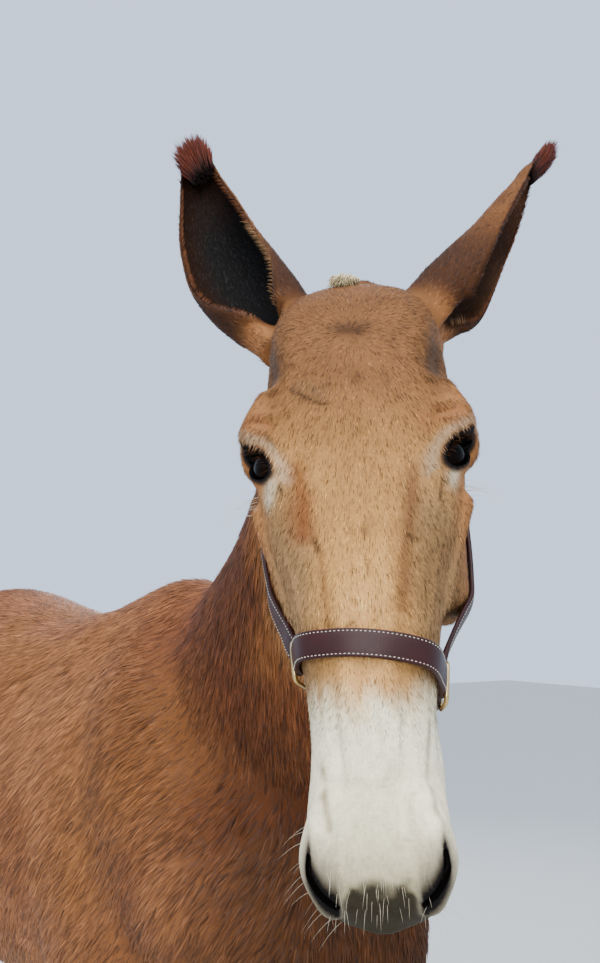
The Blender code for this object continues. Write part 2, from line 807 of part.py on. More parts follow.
def mouth_cut():
    """The thin curved sheet of air between the lips."""
    line = spread(MOUTH, 4)
    outline = [(s, y - MOUTH_GAP / 2) for s, y in line] + [(s, y + MOUTH_GAP / 2) for s, y in reversed(line)]
    return loft("mouth", [[head_point(x, y, s) for s, y in outline] for x in (-MOUTH_REACH, MOUTH_REACH)])


def nostril_cuts():
    made = []
    for side in (1, -1):
        rows = [(*head_point(side * x, y, s), wide, deep) for x, y, s, wide, deep in NOSTRIL]
        made.append(limb("nostril", rows, 3, 10, HEAD_LEFT))
    return made


def head():
    """The head with a short stretch of neck, its lids, nostrils and the line of its mouth."""
    forms = [head_loft(), neck()]
    for rows in HEAD_BONES:
        forms += [bone(rows), bone(rows, -1)]
    flesh = fused("head", forms, HEAD_VOXEL, 5)
    point, normal = HEAD_BACK
    at, away = HEAD_PLACE @ point, HEAD_PLACE.to_3x3() @ normal
    cut(flesh, [beyond(at + away * 0.012, away)])
    moulded(flesh, HEAD_HOLLOWS)
    thinned(flesh, HEAD_TRIANGLES)
    united(flesh, [ball(eye_middle(side), EYE_RADIUS + LID) for side in (1, -1)])
    cuts = [ball(eye_middle(side), EYE_RADIUS + GAP) for side in (1, -1)]
    for side in (1, -1):
        cuts.append(prism(almond(*EYE_OPENING, side * EYE_SLANT), eye_gaze(side), OPENING_DEPTH))
    cut(flesh, cuts + nostril_cuts() + [mouth_cut()])
    united(flesh, poll_tuft())
    cut(flesh, [beyond(at - away * GAP / 2, away)])
    return flesh


# Ears

def ear(name):
    """A long cupped leaf, rooted in the head and open to one side."""
    turn = HEAD_PLACE.to_3x3()
    root = head_point(*EAR_ROOT[name])
    axis = (turn @ Vector(EAR_AXIS[name])).normalized()
    open_to = turn @ Vector(EAR_OPEN[name])
    open_to = (open_to - axis * open_to.dot(axis)).normalized()
    across = axis.cross(open_to)
    rings = []
    to_open, to_side = EAR_BOW[name]
    for t, radius, wrap, thick in spread(EAR, 2):
        radius *= EAR_WIDE[name]
        thick *= EAR_WIDE[name]
        half = math.radians(wrap)
        bow = math.sin(math.pi * max(0.0, min(t, 1.0)))
        middle = root + axis * (EAR_LENGTH * t) + open_to * (to_open * bow) + across * (to_side * bow)
        angles = [half * (2 * i / EAR_SIDES - 1) for i in range(EAR_SIDES + 1)]
        ring = [middle - open_to * (radius * math.cos(a)) + across * (radius * math.sin(a)) for a in angles]
        inner = radius - thick
        for a in reversed(angles):
            ring.append(middle - open_to * (inner * math.cos(a)) + across * (inner * math.sin(a)))
        rings.append(ring)
    made = loft(name, rings)
    tip = root + axis * EAR_LENGTH
    start, length, flare = EAR_TUFT[name]
    chance = random.Random(name)
    tuft = []
    for k, a in enumerate(turned(EAR_LOCKS)):
        lean = (across * math.cos(a) + open_to * (0.6 * math.sin(a))) * (1.0 if k % 2 else 0.4)
        base = tip + axis * (start + chance.uniform(-0.006, 0.006)) + lean * 0.003
        size = length * chance.uniform(0.85, 1.0)
        path = [base + axis * (size * t) + lean * (flare * t ** 1.3) for t in (0.0, 0.5, 1.0)]
        tuft.append(lock(path, *EAR_LOCK, open_to + lean * 0.3, CLIPPED_TIP))
    return united(made, tuft)


# Feet

def hoof(name, x, y):
    """A narrow upright hoof with a flat sole, under the slanted line of the coronet."""
    rings = []
    for t, scale in ((0, 0.97), (0.05, 1.0), (0.5, 0.92), (1.0, 0.83)):
        ring = []
        for a in turned(18):
            back = math.sin(a)
            px = x + HOOF_WIDTH / 2 * scale * math.copysign(abs(math.cos(a)) ** 0.85, math.cos(a))
            py = y + HOOF_LENGTH / 2 * scale * back + HOOF_SLOPE * t * (1 - 0.3 * max(back, 0))
            top = CORONET_HEIGHT - CORONET_FALL * back / 2
            ring.append(Vector((px, py, top * t)))
        rings.append(ring)
    return loft(name, rings)


def coronet(x, y):
    """The slanted plane at the top of a hoof, and the way up from it."""
    slope = Vector((0, CORONET_FALL / HOOF_LENGTH / 0.83, 1)).normalized()
    return Vector((x, y + HOOF_SLOPE, CORONET_HEIGHT)), slope


def feet():
    """Each leg's name, the place of its foot, the level of its top, its span of y, and its side."""
    for side, sign in (("left", 1), ("right", -1)):
        x, y = FORE_LEG[-1][:2]
        yield "fore_" + side, sign * x, y + FORE_STEP[side] - HOOF_SLOPE, FORE_LEG_TOP, FORE_REACH, sign
        x, y = HIND_LEG[-1][:2]
        yield "hind_" + side, sign * x, y + HIND_STEP[side] - HOOF_SLOPE, HIND_LEG_TOP, HIND_REACH, sign


def parted(whole):
    """Cuts the body into trunk, neck and legs, each a gap apart from the next."""
    parts = []
    back_at = HEAD_PLACE @ HEAD_BACK[0]
    back_way = HEAD_PLACE.to_3x3() @ HEAD_BACK[1]
    base_at, base_way = NECK_BASE
    half = GAP / 2
    made = united(copy_of(whole, "neck"), mane(whole))
    cuts = [beyond(base_at + base_way * half, -base_way), beyond(back_at + back_way * half, -back_way)]
    parts.append(cut(made, cuts))
    torso = copy_of(whole, "torso")
    cuts = [beyond(base_at - base_way * half, base_way)]
    for name, x, y, top, reach, sign in feet():
        made = copy_of(whole, "leg_" + name)
        other = HIND_REACH if reach == FORE_REACH else FORE_REACH
        across = (-ASIDE, 0) if sign > 0 else (0, ASIDE)
        at, way = coronet(x, y)
        parts.append(cut(made, [
            block((-ASIDE, reach[0], top - half), (ASIDE, reach[1], ABOVE)),
            block((across[0], FORE_REACH[0], BELOW), (across[1], HIND_REACH[1], ABOVE)),
            block((-ASIDE, other[0], BELOW), (ASIDE, other[1], ABOVE)),
            beyond(at + way * half, -way, CORONET_REACH),
        ]))
    for reach, top in ((FORE_REACH, FORE_LEG_TOP), (HIND_REACH, HIND_LEG_TOP)):
        cuts.append(block((-ASIDE, reach[0], BELOW), (ASIDE, reach[1], top + half)))
    parts.append(cut(torso, cuts))
    remove([whole])
    return parts


def grown(thing, by=GAP):
    """A copy of a form, larger by a distance all round."""
    made = copy_of(thing, "grown")
    normals = [vert.normal.copy() for vert in made.data.vertices]
    for vert, normal in zip(made.data.vertices, normals):
        vert.co += normal * by
    return made


# Halter

def skin_height(surface, here, out, reach=REACH):
    """How far out of a point the outermost skin within reach lies, along the way out."""
    found, _, _, far = surface.ray_cast(here + out * reach, -out, 2 * reach)
    return reach - far if found else -reach


def bridged(heights):
    """Heights along a strap, raised where it would span a hollow."""
    for _ in range(12):
        for i in range(1, len(heights) - 1):
            heights[i] = max(heights[i], (heights[i - 1] + heights[i + 1]) / 2)
    return heights


def strap(name, surface, width, hangs, core_y, core_span, guide):
    """A flat strap along a guide, folded thicker round the ring at each end."""
    places = spread(guide, STRAP_STEPS)
    path = [head_point(*place) for place in places]
    cores = [head_point(0, core_y, min(max(s, core_span[0]), core_span[1])) for _, _, s in places]
    outs = [(here - core).normalized() for here, core in zip(path, cores)]
    last = len(path) - 1
    run = [0.0]
    for one, other in zip(path, path[1:]):
        run.append(run[-1] + (other - one).length)
    lines = []
    for across in (-0.5, 0.0, 0.5):
        line = []
        for i, (here, out) in enumerate(zip(path, outs)):
            ahead = (path[min(i + 1, last)] - path[max(i - 1, 0)]).normalized()
            here = here + ahead.cross(out).normalized() * (width * across)
            line.append((here, out, skin_height(surface, here, out, NEAR_REACH if hangs else REACH)))
        heights = bridged([max(0.0, height) if hangs else height for _, _, height in line])
        lines.append([here + out * (height + STRAP_LIFT) for (here, out, _), height in zip(line, heights)])
    rings = []
    for i in range(last + 1):
        low, middle, high = (line[i] for line in lines)
        ahead = lines[1][min(i + 1, last)] - lines[1][max(i - 1, 0)]
        away = (low - high).cross(ahead).normalized()
        if away.dot(outs[i]) < 0:
            away.negate()
        fold = max(0.0, min(1.0, (FOLD_LENGTH - min(run[i], run[-1] - run[i])) / FOLD_RISE))
        thick = away * (STRAP_THICK + (FOLD_THICK - STRAP_THICK) * fold)
        rings.append([low, middle, high, high + thick, middle + thick, low + thick])
    return loft(name, rings)


def hoop(name, surface, place, half, square):
    """A wire ring that lies flat over a surface, round or nearly square."""
    here = head_point(*place)
    _, normal, _, _ = surface.find_nearest(here)
    up = HEAD_PLACE.to_3x3() @ UP
    across = up.cross(normal).normalized()
    up = normal.cross(across)
    height = max(
        skin_height(surface, here + (across * math.cos(a) + up * math.sin(a)) * half * far, normal)
        for a in turned(12) for far in (0.0, 0.6, 1.1)
    )
    middle = here + normal * (height + RING_LIFT)
    work = bmesh.new()
    rows = []
    for a in turned(12):
        out_x = math.copysign(abs(math.cos(a)) ** (2 / square), math.cos(a))
        out_y = math.copysign(abs(math.sin(a)) ** (2 / square), math.sin(a))
        out = (across * out_x + up * out_y).normalized()
        here = middle + (across * out_x + up * out_y) * half
        section = [out * (WIRE * math.cos(b)) + normal * (WIRE * math.sin(b)) for b in turned(WIRE_SIDES)]
        rows.append([work.verts.new(here + offset) for offset in section])
    for low, high in zip(rows, rows[1:] + rows[:1]):
        for i in range(WIRE_SIDES):
            j = (i + 1) % WIRE_SIDES
            work.faces.new((low[i], low[j], high[j], high[i]))
    bmesh.ops.recalc_face_normals(work, faces=work.faces)
    mesh = bpy.data.meshes.new(name)
    work.to_mesh(mesh)
    work.free()
    return put(name, mesh)


def halter(skull):
    """Straps and rings of the halter, each a gap clear of the head and of one another."""
    graph = bpy.context.evaluated_depsgraph_get()
    surface = BVHTree.FromObject(skull, graph)
    leather = material("oiled_halter_leather", (0.045, 0.018, 0.012), 0.45)
    brass = material("halter_brass", (0.75, 0.58, 0.32), 0.28, 1.0)
    hoops = []
    for name, (place, half, square) in HALTER_RINGS.items():
        hoops.append(hoop(name, surface, place, half, square))
    straps = []
    for name, (width, hangs, core_y, core_span, guide) in HALTER_STRAPS.items():
        made = strap(name, surface, width, hangs, core_y, core_span, guide)
        cut(made, [grown(skull)] + [grown(other) for other in straps + hoops if near(made, other)])
        straps.append(made)
    for made in straps:
        finish(made, leather)
    for made in hoops:
        finish(made, brass)


def near(one, other, room=0.002):
    """Whether the boxes of two things meet."""
    for axis in range(3):
        a = [vert.co[axis] for vert in one.data.vertices]
        b = [vert.co[axis] for vert in other.data.vertices]
        if min(a) > max(b) + room or min(b) > max(a) + room:
            return False
    return True


# Mane, poll tuft and tail

def crest_line(flesh):
    """Points on the skin along the crest from the withers to the poll, with the side and the way up."""
    surface = BVHTree.FromObject(flesh, bpy.context.evaluated_depsgraph_get())
    path = spread(NECK, 5)
    line = []
    for i in range(MANE_START, len(path)):
        here, _, side, rise = neck_frame(path, i)
        top = here + rise * (path[i][4] + REACH)
        found, _, _, _ = surface.ray_cast(top, -rise)
        if found:
            line.append((found, side, rise))
    return line


def mane(flesh):
    """The clipped mane along the crest: a low ridge, and upright locks that lean to either side."""
    line = crest_line(flesh)
    rings = []
    for i, (here, side, rise) in enumerate(line):
        tall = MANE_HEIGHT * 0.5 * min(1.0, 0.15 + i / MANE_RISE)
        root = here - rise * MANE_ROOT
        rings.append([root + side * MANE_HALF_WIDTH, here + rise * tall, root - side * MANE_HALF_WIDTH])
    made = [loft("mane", rings)]
    chance = random.Random("mane")
    for k in range(MANE_LOCKS):
        at = (k + 0.5) / MANE_LOCKS * (len(line) - 1)
        i = int(at)
        one, other = line[i], line[i + 1]
        here, side, rise = (a.lerp(b, at - i) for a, b in zip(one, other))
        ahead = (other[0] - one[0]).normalized()
        tall = MANE_HEIGHT * min(1.0, 0.3 + at / MANE_RISE) * chance.uniform(0.9, 1.1)
        lean = side * ((1 if k % 2 else -1) * chance.uniform(0.1, 0.3)) + ahead * chance.uniform(-0.25, 0.15)
        base = here - rise * MANE_ROOT
        path = [base + rise * ((tall + MANE_ROOT) * t) + lean * (tall * t * t) for t in (0.0, 0.55, 1.0)]
        made.append(lock(path, *MANE_LOCK, side, MANE_TIP))
    return made


def poll_tuft():
    """The short tuft between the ears, as upright locks."""
    chance = random.Random("poll")
    up = HEAD_PLACE.to_3x3() @ UP
    made = []
    for k, a in enumerate(turned(POLL_LOCKS)):
        far = 0.35 + 0.65 * (k % 2)
        x, y = POLL_SPREAD[0] * far * math.cos(a), POLL_SPREAD[1] * far * math.sin(a)
        base = head_point(x, POLL_PLACE[0] + y, POLL_PLACE[1])
        lean = HEAD_LEFT * (x * 0.5) + HEAD_PLACE.to_3x3() @ Vector((0, chance.uniform(-0.012, 0.004), 0))
        tall = POLL_HEIGHT * (1.15 - 0.45 * far)
        path = [base + up * (tall * t) + lean * (t * t) for t in (0.0, 0.55, 1.0)]
        flat = HEAD_PLACE.to_3x3() @ Vector((math.cos(a), math.sin(a), 0))
        made.append(lock(path, *POLL_LOCK, flat, CLIPPED_TIP))
    return made


def tail(torso):
    """The tail: its stump, and rows of locks that hang from it, clear of the thighs."""
    made = limb("tail", TAIL_ROOT + TAIL_HAIR, 3, 10)
    path = spread(TAIL_ROOT + TAIL_HAIR, 6)
    chance = random.Random("tail")
    hair = []
    for level, count, length in TAIL_ROWS:
        x, y, z, wide, deep = min(path, key=lambda row: abs(row[2] - level))
        for a in turned(count):
            a += chance.uniform(-0.2, 0.2)
            out = Vector((math.cos(a), 0.75 * math.sin(a) + 0.15, 0))
            base = Vector((x, y, z)) + Vector((wide * 0.5 * math.cos(a), deep * 0.5 * math.sin(a), 0))
            size = length * chance.uniform(0.85, 1.05)
            points = []
            for t in (0.0, 0.15, 0.42, 0.75, 1.0):
                bulge = math.sin(min(1.0, t * 1.6) * math.pi / 2) * (1 - 0.55 * t * t)
                points.append(base + out * (TAIL_FLARE * bulge) - UP * (size * t))
            hair.append(lock(points, *TAIL_LOCK, out))
    united(made, hair)
    return cut(made, [grown(torso)])


def centred():
    """Moves the whole model so that the middle of its box, on the ground, is the origin."""
    low = Vector((math.inf,) * 3)
    high = -low
    for thing in bpy.data.objects:
        for vert in thing.data.vertices:
            low = Vector(map(min, low, vert.co))
            high = Vector(map(max, high, vert.co))
    shift = Vector((-(low.x + high.x) / 2, -(low.y + high.y) / 2, -low.z))
    for thing in bpy.data.objects:
        thing.data.transform(Matrix.Translation(shift))
    return shift


def main():
    for thing in list(bpy.data.objects):
        bpy.data.objects.remove(thing, do_unlink=True)
    bpy.context.scene.collection.children.link(bpy.data.collections.new("mule"))
    coat = material("sorrel_coat", (0.36, 0.16, 0.075), 0.7)
    horn = material("hoof_horn", (0.10, 0.075, 0.055), 0.55)
    glassy = material("wet_eye", (0.02, 0.012, 0.008), 0.08)
    flesh = parted(body())
    for part in flesh:
        finish(part, coat)
    torso = flesh[-1]
    skull = head()
    finish(skull, coat)
    finish(tail(torso), coat)
    for side, sign in (("left", 1), ("right", -1)):
        finish(cut(ear("ear_" + side), [grown(skull)]), coat)
        eye = ball(eye_middle(sign), EYE_RADIUS)
        eye.name = "eye_" + side
        finish(eye, glassy)
    for name, x, y, top, reach, sign in feet():
        made = hoof("hoof_" + name, x, y)
        at, way = coronet(x, y)
        finish(cut(made, [beyond(at - way * (GAP / 2), way, CORONET_REACH)]), horn)
    halter(skull)
    return centred()


SHIFT = main()
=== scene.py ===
"""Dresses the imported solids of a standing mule: one skin, its coat, mane, tail, eyes, hooves and halter."""

import math

import bmesh
import bpy
import numpy as np
from bpy.props import FloatProperty, FloatVectorProperty, IntProperty, PointerProperty
from mathutils import Matrix, Vector
from mathutils.bvhtree import BVHTree


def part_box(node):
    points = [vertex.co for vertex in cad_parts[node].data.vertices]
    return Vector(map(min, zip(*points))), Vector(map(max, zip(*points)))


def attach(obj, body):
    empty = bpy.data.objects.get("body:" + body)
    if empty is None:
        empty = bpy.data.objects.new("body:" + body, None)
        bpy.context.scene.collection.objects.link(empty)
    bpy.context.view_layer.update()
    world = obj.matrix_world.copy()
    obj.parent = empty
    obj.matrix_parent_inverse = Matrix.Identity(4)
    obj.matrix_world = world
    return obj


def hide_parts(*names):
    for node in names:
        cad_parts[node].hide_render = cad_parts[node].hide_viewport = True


bl_info = {
    "name": "Standing mule",
    "version": (1, 0, 0),
    "blender": (4, 5, 0),
    "location": "3D View > Sidebar > Mule",
    "description": "Builds the skin, coat, eyes, hooves and halter of a mule over its solids",
    "category": "Add Mesh",
}

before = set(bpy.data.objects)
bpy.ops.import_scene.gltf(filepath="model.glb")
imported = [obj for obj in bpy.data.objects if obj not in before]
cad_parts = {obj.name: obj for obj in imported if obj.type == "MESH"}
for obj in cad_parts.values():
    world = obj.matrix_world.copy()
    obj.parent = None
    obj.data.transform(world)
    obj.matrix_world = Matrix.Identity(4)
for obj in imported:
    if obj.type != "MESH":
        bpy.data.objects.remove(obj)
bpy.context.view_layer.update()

UP = Vector((0, 0, 1))
LEFT = Vector((1, 0, 0))


def metres(value):
    """Millimetres in a table of any depth, as metres."""
    return tuple(map(metres, value)) if isinstance(value, tuple) else value / 1000


# Where the head is held: the poll, and how the head turns, leans and tilts about it
POLL = Vector((-0.246, -0.761, 1.871))
HEAD_PLACE = (
    Matrix.Translation(POLL)
    @ Matrix.Rotation(math.radians(-39.4), 4, "Z")
    @ Matrix.Rotation(math.radians(-3.4), 4, "Y")
    @ Matrix.Rotation(math.radians(-16.2), 4, "X")
)
HEAD_TURN = HEAD_PLACE.to_3x3()
HEAD_LEFT = HEAD_TURN @ LEFT
HEAD_UP = HEAD_TURN @ UP

WITHERS = 1.535

# The trunk from breast to buttock: y, height of the widest level, half width, rise to the back, drop to the
# belly, and how roof-like the back is
TRUNK = (
    (-0.455, 1.080, 0.070, 0.080, 0.090, 0.0),
    (-0.425, 1.080, 0.130, 0.150, 0.140, 0.0),
    (-0.340, 1.090, 0.185, 0.260, 0.210, 0.1),
    (-0.180, 1.110, 0.215, 0.370, 0.265, 0.3),
    (0.000, 1.120, 0.238, WITHERS - 1.120, 0.290, 0.45),
    (0.200, 1.110, 0.275, 0.374, 0.300, 0.15),
    (0.400, 1.110, 0.300, 0.355, 0.305, 0.0),
    (0.600, 1.130, 0.295, 0.358, 0.290, 0.0),
    (0.780, 1.160, 0.275, 0.358, 0.270, 0.1),
    (0.930, 1.160, 0.240, 0.330, 0.230, 0.15),
    (1.040, 1.160, 0.180, 0.250, 0.190, 0.1),
    (1.110, 1.160, 0.110, 0.150, 0.140, 0.0),
)

# The neck: x, y, z, half width, half depth to the crest and to the throat
NECK = metres((
    (0, 40, 1200, 150, 250, 260),
    (0, -140, 1275, 140, 235, 250),
    (-26, -330, 1410, 124, 232, 220),
    (-80, -505, 1580, 102, 190, 170),
    (-142, -645, 1712, 86, 138, 132),
    (-193, -720, 1745, 72, 95, 105),
))
CREST_PINCH = 0.35

# A left fore leg and hind leg, the point of the hock, and the muscles: x, y, z, half width, half depth
FORE_LEG = metres((
    (150, -90, 1020, 85, 130),
    (162, -85, 900, 80, 108),
    (165, -105, 780, 58, 78),
    (163, -125, 660, 47, 60),
    (160, -138, 550, 43, 49),
    (158, -146, 490, 50, 54),
    (157, -145, 430, 41, 47),
    (156, -142, 350, 29, 39),
    (155, -143, 250, 29, 39),
    (154, -147, 185, 37, 46),
    (153, -166, 135, 31, 36),
    (152, -186, 90, 40, 43),
    (152, -196, 70, 42, 46),
))
HIND_LEG = metres((
    (120, 860, 1150, 110, 190),
    (150, 830, 1000, 100, 170),
    (160, 850, 880, 78, 125),
    (160, 900, 780, 56, 86),
    (158, 955, 690, 42, 58),
    (156, 995, 605, 42, 60),
    (155, 998, 540, 37, 50),
    (155, 982, 440, 29, 40),
    (154, 965, 300, 28, 38),
    (153, 955, 200, 35, 43),
    (152, 932, 140, 29, 34),
    (151, 908, 88, 40, 44),
    (151, 902, 70, 41, 46),
))
HOCK = metres((
    (158, 985, 760, 16, 26),
    (157, 1030, 690, 16, 20),
    (156, 1045, 640, 21, 22),
    (156, 1022, 570, 20, 24),
    (155, 1005, 500, 16, 22),
))
FORE_STEP = {"left": -0.050, "right": 0.015}
HIND_STEP = {"left": 0.030, "right": -0.055}
MUSCLES = metres((
    ((60, 60, 1430, 40, 70), (135, -80, 1270, 80, 130), (155, -280, 1080, 74, 110)),
    ((145, 0, 1210, 80, 130), (178, -15, 1020, 70, 120), (180, -40, 900, 52, 80)),
    ((62, -380, 1140, 70, 80), (85, -365, 1010, 72, 80), (120, -230, 900, 55, 80)),
    ((200, 600, 1360, 45, 60), (180, 740, 1330, 85, 120), (110, 920, 1320, 100, 120)),
    ((190, 660, 1200, 85, 140), (190, 710, 1060, 85, 120), (190, 755, 930, 62, 90)),
    ((90, 1010, 1290, 85, 85), (122, 1020, 1120, 90, 100), (145, 980, 960, 66, 95)),
))

# The stump of the tail, in the same rows
TAIL_ROOT = metres((
    (0, 990, 1390, 55, 50),
    (0, 1068, 1385, 45, 42),
    (0, 1118, 1335, 34, 32),
    (0, 1138, 1250, 26, 24),
    (0, 1142, 1160, 20, 18),
    (0, 1146, 1060, 12, 12),
))

# The head in rings from the poll to the lip: distance s from the poll, how far the front, the widest level
# and the back lie behind the face plane, half width, and how square the front and the back are
HEAD = (
    (0.012, 0.100, 0.120, 0.145, 0.030, 2.0, 2.0),
    (0.021, 0.080, 0.120, 0.168, 0.056, 2.1, 2.0),
    (0.042, 0.052, 0.110, 0.190, 0.077, 2.3, 2.0),
    (0.076, 0.024, 0.100, 0.212, 0.087, 2.5, 2.0),
    (0.122, 0.005, 0.085, 0.232, 0.093, 2.6, 2.0),
    (0.172, -0.006, 0.072, 0.254, 0.099, 2.7, 1.9),
    (0.215, -0.008, 0.065, 0.274, 0.104, 2.8, 1.8),
    (0.262, -0.004, 0.068, 0.282, 0.101, 2.9, 1.7),
    (0.315, 0.003, 0.072, 0.266, 0.092, 2.8, 1.7),
    (0.368, 0.009, 0.074, 0.228, 0.077, 2.7, 1.7),
    (0.425, 0.013, 0.076, 0.188, 0.067, 2.6, 1.8),
    (0.475, 0.016, 0.078, 0.164, 0.060, 2.5, 2.0),
    (0.525, 0.018, 0.076, 0.152, 0.059, 2.4, 2.1),
    (0.575, 0.020, 0.072, 0.148, 0.064, 2.3, 2.2),
    (0.615, 0.026, 0.076, 0.146, 0.065, 2.2, 2.2),
    (0.641, 0.042, 0.088, 0.138, 0.056, 2.1, 2.1),
    (0.655, 0.060, 0.094, 0.124, 0.041, 2.0, 2.0),
    (0.663, 0.080, 0.098, 0.112, 0.022, 2.0, 2.0),
)

# Bone, muscle and lips of the head on the left side: place to the left, behind the face plane and down from
# the poll, half width and half depth
HEAD_BONES = metres((
    ((55, 60, 120, 20, 20), (82, 32, 180, 19, 18), (94, 28, 215, 22, 20)),
    ((94, 40, 200, 20, 20), (104, 70, 225, 14, 18), (86, 120, 215, 12, 14)),
    ((94, 58, 285, 14, 14), (84, 62, 330, 10, 12), (67, 62, 385, 9, 10)),
    ((66, 160, 190, 30, 60), (70, 165, 255, 30, 85), (72, 150, 345, 28, 55)),
    ((18, 12, 290, 16, 12), (18, 20, 420, 14, 12), (16, 26, 540, 12, 10)),
    ((38, 34, 565, 18, 18), (50, 40, 608, 19, 22), (40, 60, 638, 18, 20)),
    ((46, 112, 110, 32, 34), (60, 114, 85, 34, 36), (68, 114, 68, 28, 30)),
    ((44, 100, 455, 12, 26), (48, 104, 510, 15, 30), (48, 104, 560, 14, 26)),
    ((0, 75, 614, 36, 26), (0, 82, 640, 34, 24), (0, 90, 651, 28, 18)),
    ((0, 135, 570, 34, 22), (0, 142, 605, 32, 24), (0, 136, 632, 26, 16)),
))

# Eyes, nostrils and mouth, placed the same way
EYE = (0.079, 0.043, 0.243)
EYE_GAZE = (0.81, -0.58, 0.05)
EYE_SLANT = math.radians(40)
EYE_OPENING = (0.0245, 0.0135)
EYE_RADIUS = 0.0235
IRIS = 0.0150
PUPIL = (0.0075, 0.0040)
LID = 0.0052
NOSTRIL = (
    (0.0575, 0.019, 0.606, 0.0014, 0.008),
    (0.0575, 0.025, 0.622, 0.0028, 0.012),
    (0.0490, 0.034, 0.637, 0.0032, 0.013),
    (0.0370, 0.043, 0.647, 0.0022, 0.011),
)
MOUTH = ((0.535, 0.112), (0.575, 0.116), (0.620, 0.118), (0.655, 0.110), (0.700, 0.100))
MOUTH_GAP = 0.0026

# An ear from root to tip: part of its length, radius, half the angle it wraps round, thickness
EAR_LENGTH = 0.308
EAR = (
    (-0.06, 0.036, 165, 0.0345),
    (0.04, 0.042, 160, 0.0390),
    (0.12, 0.046, 148, 0.0270),
    (0.22, 0.050, 128, 0.0068),
    (0.36, 0.051, 108, 0.0050),
    (0.52, 0.047, 92, 0.0046),
    (0.68, 0.041, 84, 0.0044),
    (0.82, 0.030, 80, 0.0042),
    (0.93, 0.022, 76, 0.0038),
    (1.00, 0.013, 72, 0.0030),
)
# Each ear: its root, the way to its tip, the way it opens, how it bows forward and aside, its breadth, the
# start, length, flare and radius of its tip tuft, how much pale rim and painted shade deep in the cup shows,
# where its dark tip starts, and the colour inside the cup, dark hair darkened further as painted shade
EARS = {
    "ear_right": {
        "root": (-0.072, 0.110, 0.060), "axis": (-0.380, 0.120, 0.917), "open": (-0.30, -0.90, 0.10),
        "bow": (-0.006, -0.0245), "wide": 1.05, "tuft": (-0.034, 0.050, 0.018), "brush": 0.0155,
        "pale": 1.0, "core": 1.0, "dark": 0.80, "cup": "#241207",
    },
    "ear_left": {
        "root": (0.067, 0.106, 0.060), "axis": (0.515, 0.305, 0.815), "open": (0.70, -0.16, -0.60),
        "bow": (0.023, 0.004), "wide": 0.88, "tuft": (-0.010, 0.058, 0.016), "brush": 0.0095,
        "pale": 0.25, "core": 0.45, "dark": 0.93, "cup": "#4a2a14",
    },
}

# The halter: straps and brass rings, laid on the head along rows of x, y, s
STRAP = 0.0254
NARROW_STRAP = 0.0190
STRAP_THICK = 0.0046
STRAP_LIFT = 0.0011
STRAP_STEPS = 3
FINE_STEPS = 6
# How far over a strap's guide the skin is looked for, and how far where the strap hangs free
REACH = 0.09
NEAR_REACH = 0.020
# Length of the fold round a ring, of the slope beside it, and the thickness of the strap in the fold
FOLD_LENGTH = 0.020
FOLD_SLOPE = 0.020
SOFT_FOLD = 0.0064
STITCH_WIDTH = 0.0008
STITCH_ROW = 0.80
# One stitch: part of the pitch, its breadth there, and how far it stands out of the leather
STITCH_SHAPE = ((0.0, 0.45, -0.0002), (0.15, 1.0, 0.0002), (0.40, 1.0, 0.0002), (0.55, 0.45, -0.0002))
WIRE = 0.0023
RING_LIFT = 0.0066
SQUARE_RING = 0.0195
ROUND_RING = 0.0210
HALTER_RINGS = {
    "halter_ring_left": ((0.072, 0.100, 0.452), SQUARE_RING, 5.0),
    "halter_ring_right": ((-0.072, 0.100, 0.424), SQUARE_RING, 5.0),
    "halter_ring_chin": ((0.0, 0.176, 0.472), ROUND_RING, 2.0),
    "halter_buckle_left": ((0.090, 0.182, 0.118), SQUARE_RING, 5.0),
    "halter_buckle_right": ((-0.090, 0.182, 0.118), SQUARE_RING, 5.0),
}
# Each strap: width, whether it hangs where it is clear of the head, the line that it wraps round as y and the
# span of s that it keeps to, and its guide in millimetres
WHOLE = (0.0, 1.0)
HALTER_STRAPS = {
    "halter_noseband": (STRAP, False, 0.090, WHOLE, (
        (71, 85, 452), (68, 55, 446), (52, 22, 438), (0, 10, 429),
        (-52, 22, 425), (-68, 55, 424), (-71, 85, 424),
    )),
    "halter_cheek_left": (STRAP, False, 0.140, WHOLE, (
        (74, 108, 436), (82, 138, 388), (92, 165, 335), (97, 180, 270),
        (96, 186, 180), (90, 182, 132),
    )),
    "halter_cheek_right": (STRAP, True, 0.140, WHOLE, (
        (-69, 106, 408), (-87.5, 124, 368), (-97, 140, 335), (-104, 165, 270),
        (-95, 182, 180), (-90, 182, 132),
    )),
    "halter_crown": (STRAP, False, 0.140, (0.110, 1.0), (
        (90, 182, 104), (82, 182, 60), (50, 176, 22), (0, 172, 10),
        (-50, 176, 22), (-82, 182, 60), (-90, 182, 104),
    )),
    "halter_chin_left": (NARROW_STRAP, False, 0.090, WHOLE, (
        (68, 116, 456), (48, 156, 466), (18, 176, 471),
    )),
    "halter_chin_right": (NARROW_STRAP, False, 0.090, WHOLE, (
        (-68, 116, 430), (-48, 156, 452), (-18, 176, 469),
    )),
    "halter_throat_latch": (NARROW_STRAP, True, 0.225, (0.0, 0.250), (
        (90, 200, 126), (84, 232, 175), (74, 256, 225), (56, 268, 272),
        (30, 276, 314), (0, 278, 328), (-30, 276, 314), (-56, 268, 272),
        (-74, 256, 225), (-84, 232, 175), (-90, 200, 126),
    )),
    "halter_jaw_strap": (NARROW_STRAP, True, 0.080, WHOLE, (
        (0, 184, 457), (0, 214, 412), (0, 248, 362), (0, 276, 330),
    )),
}

# Clipped mane: its height, its first row on the neck, rows over which it rises and falls, points left bare at
# the poll, and points to each row
MANE_HEIGHT = 0.032
MANE_START = 8
MANE_RISE = 6
MANE_FALL = 7
MANE_END = 26
CREST_STEPS = 8
